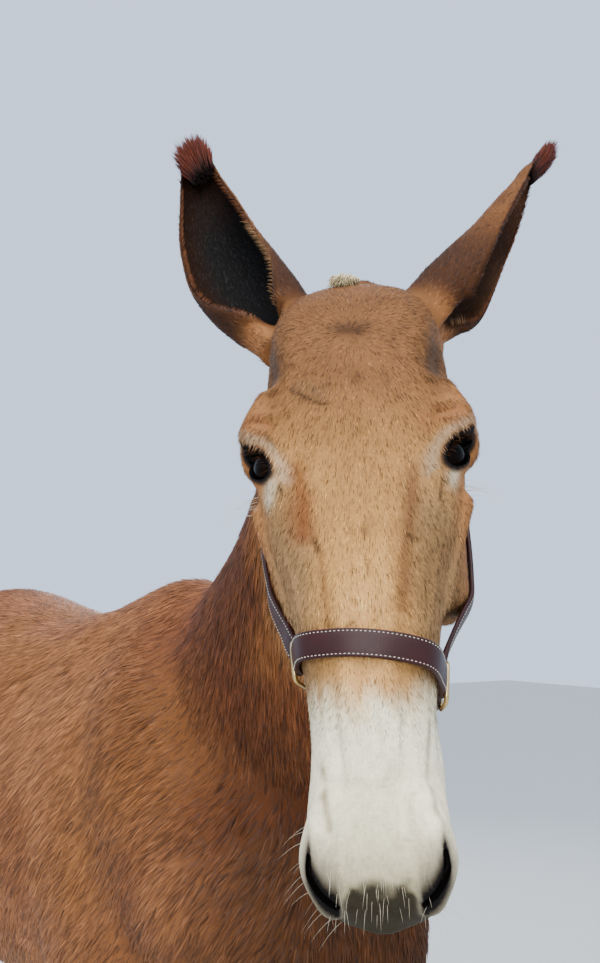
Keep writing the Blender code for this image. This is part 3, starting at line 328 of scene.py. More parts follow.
# Tuft at the poll: its height, how far it falls forward, its middle as y and s, its radius and place aside
POLL_HEIGHT = 0.032
POLL_FALL = 0.048
POLL_PLACE = (0.100, 0.022)
POLL_RADIUS = 0.010
POLL_ASIDE = 0.003
# Tail hair: how far it flares, the heights it grows from, and how high its ends hang
TAIL_FLARE = 0.034
TAIL_ROOT_LOW = 1.05
TAIL_ROOT_SPAN = 0.31
TAIL_ENDS = (0.46, 0.80)

# Strands in each piece of longer hair, and the most tufts in one piece of the short coat
MANE_HAIRS = 5200
POLL_HAIRS = 420
TAIL_HAIRS = 2600
EAR_TIP_HAIRS = 1100
EAR_RIM_HAIRS = 900
LIP_WHISKERS = 26
EYE_WHISKERS = 12
CHIN_BRISTLES = 46
PIECE_TUFTS = 45000

HOOF_WIDTH = 0.104
HOOF_LENGTH = 0.128
HOOF_SLOPE = 0.030
CORONET_HEIGHT = 0.078
CORONET_FALL = 0.026
# A hoof from the ground to the coronet: part of its height and its breadth there
HOOF_SHAPE = (
    (0, 0.96), (0.03, 0.99), (0.06, 1.0), (0.3, 0.955), (0.55, 0.91), (0.8, 0.865), (0.93, 0.85),
    (1.0, 0.835),
)

# The plane behind the jaw, and how far behind it the fine head and the plainer body are joined
HEAD_BACK = (Vector((0, 0.225, 0)), Vector((0, 0.972, 0.235)).normalized())
JOIN_BACK = 0.10
JOIN_GAP = 0.004
JOIN_TURNS = 24
# Sizes of the grid that fuses the forms of the body and of the head
BODY_GRID = 0.008
HEAD_GRID = 0.0027
FLESH = ("torso", "neck", "head", "ear_left", "ear_right", "leg_fore_left", "leg_fore_right", "leg_hind_left",
         "leg_hind_right")


def head_point(x, y, s):
    """A point of the head by its place to the left, behind the face plane, and down from the poll."""
    return HEAD_PLACE @ Vector((x, y, -s))


def eye_middle(side):
    return head_point(side * EYE[0], EYE[1], EYE[2])


def box_middle(node):
    low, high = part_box(node)
    return (low + high) / 2


# All forms are worked out about the withers, and this moves them to where the solids are
SHIFT = (box_middle("eye_left") + box_middle("eye_right") - eye_middle(1) - eye_middle(-1)) / 2
SHIFT.z = 0.0


# Colours of the coat, in sRGB
BACK_COLOUR = "#803d1e"
BARREL_COLOUR = "#aa6e46"
NECK_COLOUR = "#66371b"
# Dark hair of the breast, with painted shadow from the head and neck over it
BREAST_SHADOW_COLOUR = "#2e1406"
GOLD_COLOUR = "#9a6030"
SHADE_COLOUR = "#5c2c12"
BROW_COLOUR = "#754c2a"
FOREHEAD_COLOUR = "#7d532f"
SIDE_COLOUR = "#93714c"
# Pale hair down the nose, with a painted highlight in it
NOSE_PALE_AND_HIGHLIGHT_COLOUR = "#e0a562"
CHEEK_COLOUR = "#a66c3e"
LOWER_MUZZLE_SHADE_COLOUR = "#8a7a56"
# Painted shade of the lower muzzle
LIP_COLOUR = "#1d170c"
LID_COLOUR = "#b89a78"
# Painted shade over the wing of each nostril
NOSTRIL_WING_SHADE_COLOUR = "#857c68"
EAR_COLOUR = "#6c421f"
EAR_LOW_COLOUR = "#2c1508"
WITHERS_COLOUR = "#5e2c0e"
BELLY_COLOUR = "#a87444"
CANNON_COLOUR = "#5a3018"
JAW_COLOUR = "#8a5a34"
LID_RIM_COLOUR = "#2a1c14"
LID_EDGE_COLOUR = "#050302"
# Painted shade at the edge of each nostril and, near black, inside it
NOSTRIL_SHADE_COLOUR = "#3a3026"
NOSTRIL_HOLLOW_SHADE_COLOUR = "#0b0705"
# Near black painted shade deep in the ear's cup
EAR_CUP_SHADE_COLOUR = "#040201"
EAR_RIM_COLOUR = "#8a6242"
EAR_TIP_COLOUR = "#230d06"

# Colours of the eyes, and of each longer hair at its root and its tip
EYEBALL_COLOUR = "#0e0906"
IRIS_COLOUR = "#0a0503"
PUPIL_COLOUR = "#020202"
MANE_COLOURS = ("#7c4a2c", "#c79a66")
POLL_COLOURS = ("#a8865a", "#e2cfa4")
TAIL_COLOURS = ("#7a4527", "#c49a68")
EAR_TUFT_COLOURS = ("#140603", "#64260f")
RIM_PALE_COLOURS = ("#5e3a1e", "#94704a")
RIM_DARK_COLOURS = ("#3e1f0e", "#6e3f1e")
WHISKER_COLOUR = "#d6c9ae"
LASH_COLOURS = ("#20120a", "#5e3a20")
HORN_COLOURS = ("#3b3028", "#6e6050")
SKY_COLOUR = "#c6d8f0"

# Marks on the face, as a line of x, y, s and its breadth in millimetres, its colour and its strength: whorls
# on the forehead, painted shade along wrinkles and in the hollows over the eyes, a broad painted shade on the
# left side of the face, veins, tear streaks and the pale skin below the eyes
MARKS = (
    (((-8, 6, 115), (8, 6, 117)), 9, "#3e2412", 0.80),
    (((-20, 6, 108), (20, 6, 110)), 6, "#5a3a22", 0.45),
    (((5, -10, 177),), 6, "#4e321c", 0.65),
    (((-57, -2, 182), (-44, -7, 192), (-31, -10, 201), (-23, -11, 201)), 2, "#2c190c", 0.85),
    (((-52, -2, 176), (-30, -10, 190)), 7, "#6b5038", 0.45),
    (((-57, 2, 262), (-50, 4, 292), (-52, 8, 320)), 10, "#7a3f1a", 0.70),
    (((-60, 10, 300), (-56, 12, 318)), 15, "#86502a", 0.60),
    (((-42, 8, 330), (-37, 10, 340)), 3.6, "#2c190c", 0.85),
    (((-36, 10, 345), (-35, 13, 376), (-34, 16, 412)), 3.4, "#70492a", 0.55),
    (((50, 5, 270), (49, 5, 298), (44, 8, 326), (39, 11, 353), (35, 14, 395)), 8, "#6a4226", 0.70),
    (((43, 9, 330), (52, 12, 335)), 2.2, "#2c190c", 0.85),
    (((4, 7, 352), (6, 8, 364)), 1.6, "#4e321c", 0.60),
    (((-17, 8, 414), (-9, 10, 408)), 1.8, "#2c190c", 0.75),
    (((4, 4, 325),), 4, "#4e321c", 0.65),
    (((30, 10, 322), (-26, 10, 320)), 6, "#7a5230", 0.35),
    # A broad painted shade on the left side of the face, which turns away from the light
    (((64, 25, 380), (66, 30, 330)), 24, "#70502e", 0.55),
    # Painted shade in a crease on the cheek
    (((82, 147, 352), (80, 140, 362)), 3, "#2c190c", 0.70),
    (((-81, 17, 269), (-87, 23, 281)), 8.5, "#d8c4a2", 0.85),
    (((93, 26, 262), (89, 23, 272)), 8.5, "#d8c4a2", 0.85),
    (((-105, 13, 221), (-96, 9, 217), (-87, 10, 219), (-79, 7, 233)), 2.6, "#3c2616", 0.70),
    (((-107, 14, 208), (-95, 10, 204), (-83, 8, 212)), 8, "#8a5632", 0.60),
    (((66, 0, 222), (81, 8, 210), (97, 9, 212), (108, 16, 218)), 9, "#8a5632", 0.65),
    (((-74, 10, 274), (-71, 10, 281)), 2.2, "#080504", 0.90),
    (((79, 14, 274), (76, 15, 289), (75, 16, 296)), 1.8, "#140c08", 0.80),
    # Painted shade in the hollows over the eyes, on both sides
    (((-81, 30, 150), (-90, 70, 105)), 20, "#4a3626", 0.80),
    (((81, 22, 160), (88, 60, 120)), 20, "#46301e", 0.88),
)
# Marks on the muzzle: veins and painted shade along a fold at its sides, and the yellower middle
MUZZLE_MARKS = (
    (((-45, 33, 533), (-42, 18, 560), (-38, 17, 585)), 3.6, "#8f7a58", 0.75),
    # Painted shade along a fold of the muzzle
    (((52, 43, 493), (47, 35, 537), (52, 20, 572), (60, 30, 593)), 3, "#9c9078", 0.80),
    (((0, 18, 570), (0, 22, 610)), 26, "#dccfa4", 0.55),
)


def linear(code):
    """An sRGB hex colour as linear red, green and blue."""
    values = [int(code[i:i + 2], 16) / 255 for i in (1, 3, 5)]
    return tuple(v / 12.92 if v <= 0.04045 else ((v + 0.055) / 1.055) ** 2.4 for v in values)


class MuleCoatSettings(bpy.types.PropertyGroup):
    depth: FloatProperty(name="Coat depth", description="How far the skin lies inside the solids on the body",
                         default=0.0024, min=0.0, unit="LENGTH")
    body_hairs: IntProperty(name="Body tufts", description="Tufts on the trunk, neck and legs",
                            default=150000, min=0)
    head_hairs: IntProperty(name="Head tufts", description="Tufts on the head", default=150000, min=0)
    sorrel: FloatVectorProperty(name="Sorrel", description="Hair of the trunk and neck", subtype="COLOR",
                                size=3, default=linear("#7e4d27"))
    pale_gold: FloatVectorProperty(name="Pale gold", description="Hair of the face", subtype="COLOR",
                                   size=3, default=linear("#ba854a"))
    cream: FloatVectorProperty(name="Cream", description="Hair of the muzzle", subtype="COLOR",
                               size=3, default=linear("#fff0c8"))


class MuleHalterSettings(bpy.types.PropertyGroup):
    strap_width: FloatProperty(name="Strap width", default=STRAP, min=0.005, unit="LENGTH",
                               description="Width of the noseband, cheek and crown straps")
    stitch: FloatProperty(name="Stitch", description="Length of one stitch and its gap", default=0.0040,
                          min=0.002, unit="LENGTH")
    leather: FloatVectorProperty(name="Leather", description="Oiled leather", subtype="COLOR", size=3,
                                 default=linear("#2f100e"))
    thread: FloatVectorProperty(name="Thread", description="Waxed thread", subtype="COLOR", size=3,
                                default=linear("#c8bca6"))
    brass: FloatVectorProperty(name="Brass", description="Worn brass", subtype="COLOR", size=3,
                               default=linear("#c9ab72"))


class MuleStageSettings(bpy.types.PropertyGroup):
    floor: FloatVectorProperty(name="Floor", description="Plain pale floor", subtype="COLOR", size=3,
                               default=linear("#cfccc6"))
    light: FloatProperty(name="Light", description="Power of the large lamp overhead", default=340.0, min=0.0,
                         unit="POWER")


# Shapes shared by the pieces

def spread(rows, steps):
    """Rows on a smooth curve through the given ones, with the given steps from each to the next."""
    last = len(rows) - 1
    found = []
    for i in range(last):
        a, b, c, d = (rows[max(0, min(last, i + k))] for k in (-1, 0, 1, 2))
        for step in range(steps):
            t = step / steps
            found.append(tuple(
                0.5 * (2 * q + (r - p) * t + (2 * p - 5 * q + 4 * r - s) * t * t
                       + (3 * q - p - 3 * r + s) * t ** 3)
                for p, q, r, s in zip(a, b, c, d)
            ))
    found.append(tuple(rows[last]))
    return found


def turned(count):
    """Angles once round, starting at the right."""
    return [2 * math.pi * i / count for i in range(count)]


def put(name, mesh):
    made = bpy.data.objects.new(name, mesh)
    bpy.context.scene.collection.objects.link(made)
    return made


def built(name, work):
    """An object from a bmesh, which it frees."""
    mesh = bpy.data.meshes.new(name)
    work.to_mesh(mesh)
    work.free()
    return put(name, mesh)


def loft(name, rings):
    """A closed skin over rings of points, with flat ends."""
    work = bmesh.new()
    rows = [[work.verts.new(p) for p in ring] for ring in rings]
    count = len(rows[0])
    for low, high in zip(rows, rows[1:]):
        for i in range(count):
            work.faces.new((low[i], low[(i + 1) % count], high[(i + 1) % count], high[i]))
    for row in (rows[0], rows[-1]):
        work.faces.new(row)
    bmesh.ops.recalc_face_normals(work, faces=work.faces)
    return built(name, work)


def limb(name, rows, steps=6, count=28, across=LEFT):
    """A rounded tube through rows of x, y, z, half width and half depth."""
    path = spread(rows, steps)
    rings = []
    for i, row in enumerate(path):
        ahead = Vector(path[min(i + 1, len(path) - 1)][:3]) - Vector(path[max(i - 1, 0)][:3])
        ahead.normalize()
        side = (across - ahead * across.dot(ahead)).normalized()
        deep = ahead.cross(side)
        here = Vector(row[:3])
        ends = [(0, 1)]
        blunt = min(row[3], row[4])
        if i == 0:
            ends = [(-math.sin(a) * blunt, math.cos(a)) for a in (1.35, 0.9, 0.45, 0)]
        elif i == len(path) - 1:
            ends = [(math.sin(a) * blunt, math.cos(a)) for a in (0, 0.45, 0.9, 1.35)]
        for shift, scale in ends:
            wide, thick = row[3] * scale, row[4] * scale
            rings.append([
                here + ahead * shift + side * (wide * math.cos(a)) + deep * (thick * math.sin(a))
                for a in turned(count)
            ])
    return loft(name, rings)


def mirrored(rows):
    return tuple((-row[0],) + tuple(row[1:]) for row in rows)


def settle(thing):
    """Applies the modifiers to the object's mesh."""
    bpy.context.view_layer.update()
    mesh = bpy.data.meshes.new_from_object(thing.evaluated_get(bpy.context.evaluated_depsgraph_get()))
    thing.modifiers.clear()
    old, thing.data = thing.data, mesh
    bpy.data.meshes.remove(old)
    return thing


def remove(things):
    for thing in things:
        bpy.data.objects.remove(thing, do_unlink=True)


def fused(name, things, voxel, smoothing):
    """One smooth form out of overlapping forms."""
    work = bmesh.new()
    for thing in things:
        work.from_mesh(thing.data)
    remove(things)
    flesh = built(name, work)
    skin = flesh.modifiers.new("skin", "REMESH")
    skin.mode = "VOXEL"
    skin.voxel_size = voxel
    soften = flesh.modifiers.new("soften", "SMOOTH")
    soften.factor = 0.5
    soften.iterations = smoothing
    return settle(flesh)


def boolean(thing, others, operation):
    """Cuts or joins the thing with each of the others in turn."""
    for other in others:
        change = thing.modifiers.new("change", "BOOLEAN")
        change.operation = operation
        change.object = other
        change.solver = "MANIFOLD"
        settle(thing)
        remove([other])
    return thing


def ball(middle, radius, segments=48, rings=32):
    work = bmesh.new()
    bmesh.ops.create_uvsphere(work, u_segments=segments, v_segments=rings, radius=radius)
    bmesh.ops.translate(work, verts=work.verts, vec=middle)
    return built("ball", work)


# Vertex work on whole meshes at once

def points_of(mesh, what="co"):
    """The place of each vertex, or its normal, in one array."""
    flat = np.empty(len(mesh.vertices) * 3, np.float32)
    mesh.vertices.foreach_get(what, flat)
    return flat.reshape(-1, 3).astype(float)


def normals_of(mesh):
    return points_of(mesh, "normal")


def set_points(mesh, points):
    mesh.vertices.foreach_set("co", points.astype(np.float32).ravel())
    mesh.update()


def in_head(points):
    """Places in the head's own frame: left, behind the face plane, down from the poll."""
    turn = np.array(HEAD_TURN)
    local = (points - np.array(POLL)) @ turn
    local[:, 2] *= -1
    return local


def unit(vectors):
    return vectors / np.maximum(np.linalg.norm(vectors, axis=-1, keepdims=True), 1e-9)


def smooth_step(value, low, high):
    t = np.clip((value - low) / (high - low), 0, 1)
    return t * t * (3 - 2 * t)


def near_line(points, line):
    """Distance from each point to a line through the given points."""
    best = np.full(len(points), 9.0)
    line = np.array(line, float)
    for a, b in zip(line, line[1:]):
        along = b - a
        t = np.clip(((points - a) @ along) / max(along @ along, 1e-9), 0, 1)
        best = np.minimum(best, np.linalg.norm(points - a - t[:, None] * along, axis=1))
    return best


# Hollows and swellings of the head, for both sides: the line as x, y, s, its breadth and its rise
FOLDS = metres((
    (((82, 52, 150),), 28, -10),
    (((60, 10, 130),), 40, 3),
    (((0, 0, 200),), 50, 4),
    (((60, 30, 440),), 34, -5),
    (((74, 110, 400),), 40, -5),
    (((56, 90, 500),), 30, -3),
    (((0, 20, 610),), 24, -5),
    (((0, 160, 560),), 30, -6),
))
# Finer folds and veins that only the skin has
WRINKLES = metres((
    (((82, 26, 150), (90, 60, 110)), 18, -5),
    (((56, 3, 150), (66, 6, 172), (90, 22, 172)), 7, 2.2),
    (((28, 22, 500), (26, 21, 563), (18, 27, 603)), 4, -1.4),
    (((104, 18, 205), (94, 8, 196), (78, 6, 200)), 4, 2.2),
    (((106, 20, 216), (96, 12, 206), (80, 8, 210)), 2.8, -2.2),
    (((110, 30, 272), (98, 20, 274), (84, 16, 266)), 3.5, 1.6),
    (((108, 34, 282), (96, 22, 286), (82, 18, 278)), 3, -1.4),
    (((74, 30, 310), (66, 28, 360), (60, 34, 420)), 3.4, 1.6),
    (((86, 50, 300), (82, 58, 350), (74, 64, 400)), 4, 1.8),
    (((44, 20, 440), (50, 28, 500), (52, 30, 550)), 4, 1.4),
    (((64, 12, 596), (71, 20, 616), (62, 28, 640)), 5, 2.6),
    (((48, 12, 592), (50, 18, 612), (44, 28, 634)), 5, 1.8),
    (((56, 100, 600), (46, 104, 636), (24, 106, 656)), 4, 1.4),
))


def folded(mesh, rows):
    """Raises (+) or sinks (-) the skin of the head along lines."""
    points, normals = points_of(mesh), normals_of(mesh)
    local = in_head(points)
    move = np.zeros(len(points))
    for line, breadth, rise in rows:
        sides = (1, -1) if any(p[0] for p in line) else (1,)
        for side in sides:
            flipped = [(side * x, y, s) for x, y, s in line]
            if len(flipped) == 1:
                flipped.append(flipped[0])
            far = near_line(local, flipped) / breadth
            move += rise * np.exp(-far * far)
    set_points(mesh, points + normals * move[:, None])


# The flesh

def trunk():
    rings = []
    for y, level, wide, rise, drop, roof in spread(TRUNK, 6):
        ring = []
        for a in turned(56):
            high = max(math.sin(a), 0)
            ring.append(Vector((
                wide * math.cos(a) * (1 - roof * high * high),
                y,
                level + (rise if math.sin(a) > 0 else drop) * math.sin(a),
            )))
        rings.append(ring)
    return loft("trunk", rings)


def neck_frame(path, i):
    """The point, the side and the crest's direction at one row of the neck."""
    ahead = Vector(path[min(i + 1, len(path) - 1)][:3]) - Vector(path[max(i - 1, 0)][:3])
    side = ahead.cross(UP).normalized()
    return Vector(path[i][:3]), side, side.cross(ahead.normalized())


def neck(first=0):
    path = spread(NECK, 5)
    rings = []
    for i in range(first, len(path)):
        here, side, rise = neck_frame(path, i)
        wide, crest, throat = path[i][3:]
        ring = []
        for a in turned(48):
            high = max(math.sin(a), 0)
            depth = crest if math.sin(a) > 0 else throat
            across = side * (wide * math.cos(a) * (1 - CREST_PINCH * high * high))
            ring.append(here + across + rise * (depth * math.sin(a)))
        rings.append(ring)
    return loft("neck_form", rings)


def stepped(rows, step, top=None):
    """Leg rows with the foot moved along the ground by the step, and the upper leg left where it is."""
    top = top or rows[0][2]
    return tuple((x, y + step * (1 - z / top) ** 0.8, z, wide, deep) for x, y, z, wide, deep in rows)


def body_form():
    forms = [trunk(), neck(), limb("stump", TAIL_ROOT)]
    for side, turn in (("left", tuple), ("right", mirrored)):
        forms.append(limb("fore", turn(stepped(FORE_LEG, FORE_STEP[side]))))
        forms.append(limb("hind", turn(stepped(HIND_LEG, HIND_STEP[side]))))
        forms.append(limb("hock", turn(stepped(HOCK, HIND_STEP[side], HIND_LEG[0][2]))))
    for rows in MUSCLES:
        forms.append(limb("muscle", rows))
        forms.append(limb("muscle", mirrored(rows)))
    whole = fused("body_form", forms, BODY_GRID, 7)
    group = whole.vertex_groups.new(name="upper")
    heights = points_of(whole.data)[:, 2]
    weights = np.clip((heights - 0.62) / 0.30, 0, 1)
    for index, weight in enumerate(weights):
        if weight > 0:
            group.add([index], float(weight), "REPLACE")
    soften = whole.modifiers.new("soften", "SMOOTH")
    soften.factor = 0.5
    soften.iterations = 100
    soften.vertex_group = group.name
    settle(whole)
    whole.vertex_groups.clear()
    return whole


def head_loft():
    rings = []
    for s, front, level, back, wide, square_front, square_back in spread(HEAD, 6):
        ring = []
        for a in turned(72):
            across, deep = math.cos(a), math.sin(a)
            square = square_back if deep > 0 else square_front
            reach = (back if deep > 0 else front) - level
            x = wide * math.copysign(abs(across) ** (2 / square), across)
            ring.append(head_point(x, level + reach * abs(deep) ** (2 / square), s))
        rings.append(ring)
    return loft("head_form", rings)


def bone(rows, side=1):
    return limb("bone", [(*head_point(side * x, y, s), w, d) for x, y, s, w, d in rows], 5, 20, HEAD_LEFT)


def eye_place(side):
    """A place whose Z looks out of the eye and whose Y runs up the head."""
    out = (HEAD_TURN @ Vector((side * EYE_GAZE[0], EYE_GAZE[1], EYE_GAZE[2]))).normalized()
    across = HEAD_UP.cross(out).normalized()
    place = Matrix((across, out.cross(across), out)).transposed().to_4x4()
    place.translation = eye_middle(side)
    return place


def almond(long, tall, tilt, count=48):
    """The outline of an eye's opening: two arcs that meet in two corners."""
    outline = []
    for a in turned(count):
        x = long * math.cos(a)
        y = tall * math.sin(a) * abs(math.sin(a)) ** 0.35
        outline.append((x * math.cos(tilt) - y * math.sin(tilt), x * math.sin(tilt) + y * math.cos(tilt)))
    return outline


def eye_cut(side):
    place = eye_place(side)
    outline = almond(*EYE_OPENING, side * EYE_SLANT)
    return loft("opening", [[place @ Vector((x, y, z)) for x, y in outline] for z in (0.010, 0.060)])


def mouth_cut():
    line = spread(MOUTH, 6)
    outline = [(s, y - MOUTH_GAP / 2) for s, y in line] + [(s, y + MOUTH_GAP / 2) for s, y in reversed(line)]
    return loft("mouth", [[head_point(x, y, s) for s, y in outline] for x in (-0.09, 0.09)])


def nostril_cut(side):
    rows = [(*head_point(side * x, y, s), wide, deep) for x, y, s, wide, deep in NOSTRIL]
    return limb("nostril", rows, 6, 24, HEAD_LEFT)


def ear_frame(name):
    """The ear's root, the way to its tip, the way it opens and the way across it."""
    facts = EARS[name]
    root = head_point(*facts["root"])
    axis = (HEAD_TURN @ Vector(facts["axis"])).normalized()
    open_to = HEAD_TURN @ Vector(facts["open"])
    open_to = (open_to - axis * open_to.dot(axis)).normalized()
    return root, axis, open_to, axis.cross(open_to)


def ear_row(name, row):
    """The middle of the ear at one row of its table."""
    root, axis, open_to, across = ear_frame(name)
    to_open, to_side = EARS[name]["bow"]
    bow = math.sin(math.pi * max(0.0, min(row[0], 1.0)))
    return root + axis * (EAR_LENGTH * row[0]) + open_to * (to_open * bow) + across * (to_side * bow)


def ear_form(name, sides=28):
    open_to, across = ear_frame(name)[2:]
    rings = []
    for row in spread(EAR, 7):
        wide = EARS[name]["wide"]
        radius, wrap, thick = row[1] * wide, row[2], row[3] * wide
        half = math.radians(wrap)
        middle = ear_row(name, row)
        angles = [half * (2 * i / sides - 1) for i in range(sides + 1)]
        ring = [middle - open_to * (radius * math.cos(a)) + across * (radius * math.sin(a)) for a in angles]
        inner = radius - thick
        for a in reversed(angles):
            ring.append(middle - open_to * (inner * math.cos(a)) + across * (inner * math.sin(a)))
        rings.append(ring)
    return loft(name + "_form", rings)


def smoothed(thing, wanted, turns):
    """Softens the mesh where the test of a vertex holds."""
    work = bmesh.new()
    work.from_mesh(thing.data)
    chosen = [v for v in work.verts if wanted(v)]
    axes = {f"use_axis_{axis}": True for axis in "xyz"}
    for _ in range(turns):
        bmesh.ops.smooth_vert(work, verts=chosen, factor=0.5, **axes)
    work.to_mesh(thing.data)
    work.free()


def near_any(spots, radius):
    """A test of a vertex: whether it lies within the radius of one of the spots."""
    return lambda v: any((v.co - spot).length < radius for spot in spots)


def head_form():
    forms = [head_loft(), neck(10)]
    for rows in HEAD_BONES:
        forms += [bone(rows), bone(rows, -1)]
    flesh = fused("head_form", forms, HEAD_GRID, 12)
    folded(flesh.data, FOLDS)
    folded(flesh.data, WRINKLES)
    boolean(flesh, [ear_form(name) for name in EARS], "UNION")
    smoothed(flesh, near_any([ear_row(name, (t,)) for name in EARS for t in (0.0, 0.08)], 0.046), 5)
    boolean(flesh, [ball(eye_middle(side), EYE_RADIUS + LID) for side in (1, -1)], "UNION")
    smoothed(flesh, near_any([eye_middle(side) for side in (1, -1)], 0.036), 3)
    cuts = []
    for side in (1, -1):
        cuts += [ball(eye_middle(side), EYE_RADIUS + 0.0003), eye_cut(side), nostril_cut(side)]
    boolean(flesh, cuts + [mouth_cut()], "DIFFERENCE")
    return flesh


def plane_distance(points, back):
    """How far points lie behind the plane that is the given distance behind the head's own back plane."""
    at = np.array(HEAD_PLACE @ HEAD_BACK[0])
    away = np.array(HEAD_TURN @ HEAD_BACK[1])
    return (points - at) @ away - back


def skin_mesh():
    """The one skin: the fine head and the body, cut on one plane across the neck and joined there."""
    body, head = body_form(), head_form()
    surface = BVHTree.FromObject(head, bpy.context.evaluated_depsgraph_get())
    points = points_of(body.data)
    behind = plane_distance(points, JOIN_BACK)
    near = np.where((behind > -0.03) & (behind < 0.14) & (points[:, 2] > 1.2) & (points[:, 1] < -0.2))[0]
    for i in near:
        weight = 1 - float(smooth_step(behind[i], 0.01, 0.13))
        found = surface.find_nearest(Vector(points[i]))[0]
        points[i] += (np.array(found) - points[i]) * weight
    set_points(body.data, points)
    at = HEAD_PLACE @ HEAD_BACK[0]
    away = HEAD_TURN @ HEAD_BACK[1]
    work = bmesh.new()
    for thing, back, keep_front in ((head, JOIN_BACK, True), (body, JOIN_BACK + JOIN_GAP, False)):
        part = bmesh.new()
        part.from_mesh(thing.data)
        bmesh.ops.bisect_plane(
            part, geom=part.verts[:] + part.edges[:] + part.faces[:], plane_co=at + away * back,
            plane_no=away, clear_outer=keep_front, clear_inner=not keep_front,
        )
        mesh = bpy.data.meshes.new("part")
        part.to_mesh(mesh)
        part.free()
        work.from_mesh(mesh)
        bpy.data.meshes.remove(mesh)
    remove([head, body])
    edges = [edge for edge in work.edges if edge.is_boundary]
    bmesh.ops.bridge_loops(work, edges=edges)
    bmesh.ops.recalc_face_normals(work, faces=work.faces)
    skin = built("mule_skin", work)
    points = points_of(skin.data)
    behind = plane_distance(points, JOIN_BACK)
    seam = (behind > -0.018) & (behind < 0.15) & (points[:, 2] > 1.0) & (points[:, 1] < -0.1)
    smoothed(skin, lambda v: seam[v.index], JOIN_TURNS)
    return skin


def moved_to_frame(thing):
    thing.data.transform(Matrix.Translation(SHIFT))
    return thing


# Regions and colours of the coat, alike on skin and hair

def regions(points):
    """Each point in the head's frame, and how much of it is head, each ear, neck and leg, from 0 to 1."""
    local = in_head(points)
    head = 1 - smooth_step(plane_distance(points, 0.0), -0.02, 0.06)
    head *= smooth_step(points[:, 2], 1.0, 1.05)
    ears = {}
    for name in EARS:
        root, axis = (np.array(v) for v in ear_frame(name)[:2])
        along = (points - root) @ axis
        aside = np.linalg.norm(points - root - along[:, None] * axis, axis=1)
        ears[name] = smooth_step(along, 0.000, 0.036) * (aside < 0.085)
    neck_base = (points - np.array((0, -0.300, 1.330))) @ np.array((0.04, -0.80, 0.60))
    neck_part = smooth_step(neck_base, -0.05, 0.10) * (1 - head)
    leg = 1 - smooth_step(points[:, 2], 0.55, 0.95)
    return local, head, ears, neck_part, leg


def noise(points, scale, seed):
    """Smooth random unevenness from -1 to 1, with spots of the given size."""
    place = points / scale + 7.3 * seed
    cell = np.floor(place).astype(np.int64)
    part = place - cell
    part = part * part * (3 - 2 * part)
    total = np.zeros(len(points))
    for corner in np.ndindex(2, 2, 2):
        share = np.prod(np.where(np.array(corner) == 1, part, 1 - part), axis=1)
        mixed = ((cell + corner) * (73856093, 19349663, 83492791)).sum(axis=1) ^ (seed * 2654435)
        mixed = (mixed ^ (mixed >> 13)) * 1274126177
        total += share * (((mixed ^ (mixed >> 16)) & 65535) / 32767.5 - 1)
    return total


def mix(colours, other, weight):
    return colours + (np.array(other) - colours) * weight[:, None]


def eye_share(points, side):
    """How far from the middle of the eye's opening each point lies: 1 at its edge, and which way is up."""
    place = eye_place(side).inverted()
    local = points @ np.array(place.to_3x3()).T + np.array(place.translation)
    tilt = side * EYE_SLANT
    x = local[:, 0] * math.cos(tilt) + local[:, 1] * math.sin(tilt)
    y = local[:, 1] * math.cos(tilt) - local[:, 0] * math.sin(tilt)
    near = (local[:, 2] > 0.004) & (local[:, 2] < 0.060)
    return np.where(near, np.hypot(x / EYE_OPENING[0], y / EYE_OPENING[1]), 9.0), y


def nostril_share(local, side):
    """How far from the line through the nostril each point lies: 1 on its wall."""
    best = np.full(len(local), 9.0)
    for x, y, s, wide, deep in spread(NOSTRIL, 4):
        away = (local - np.array((side * x, y, s))) / np.array((wide, deep, deep))
        best = np.minimum(best, np.linalg.norm(away, axis=1))
    return best


def ear_share(name, points, normals):
    """Where points lie on an ear: along it, how far inside the cup they face, and how near the rims."""
    root, axis, open_to, across = (np.array(v) for v in ear_frame(name))
    along = (points - root) @ axis / EAR_LENGTH
    bow = np.sin(math.pi * np.clip(along, 0, 1))[:, None]
    to_open, to_side = EARS[name]["bow"]
    middle = root + along[:, None] * axis * EAR_LENGTH + open_to * (to_open * bow) + across * (to_side * bow)
    out = unit(points - middle)
    inside = smooth_step(-np.sum(out * normals, axis=1), 0.0, 0.5)
    table = np.array(EAR)
    half = np.radians(np.interp(along, table[:, 0], table[:, 2]))
    angle = np.arctan2(out @ across, -(out @ open_to))
    return along, inside * (along > 0.06), smooth_step(np.abs(angle) - half, -0.42, -0.10), angle


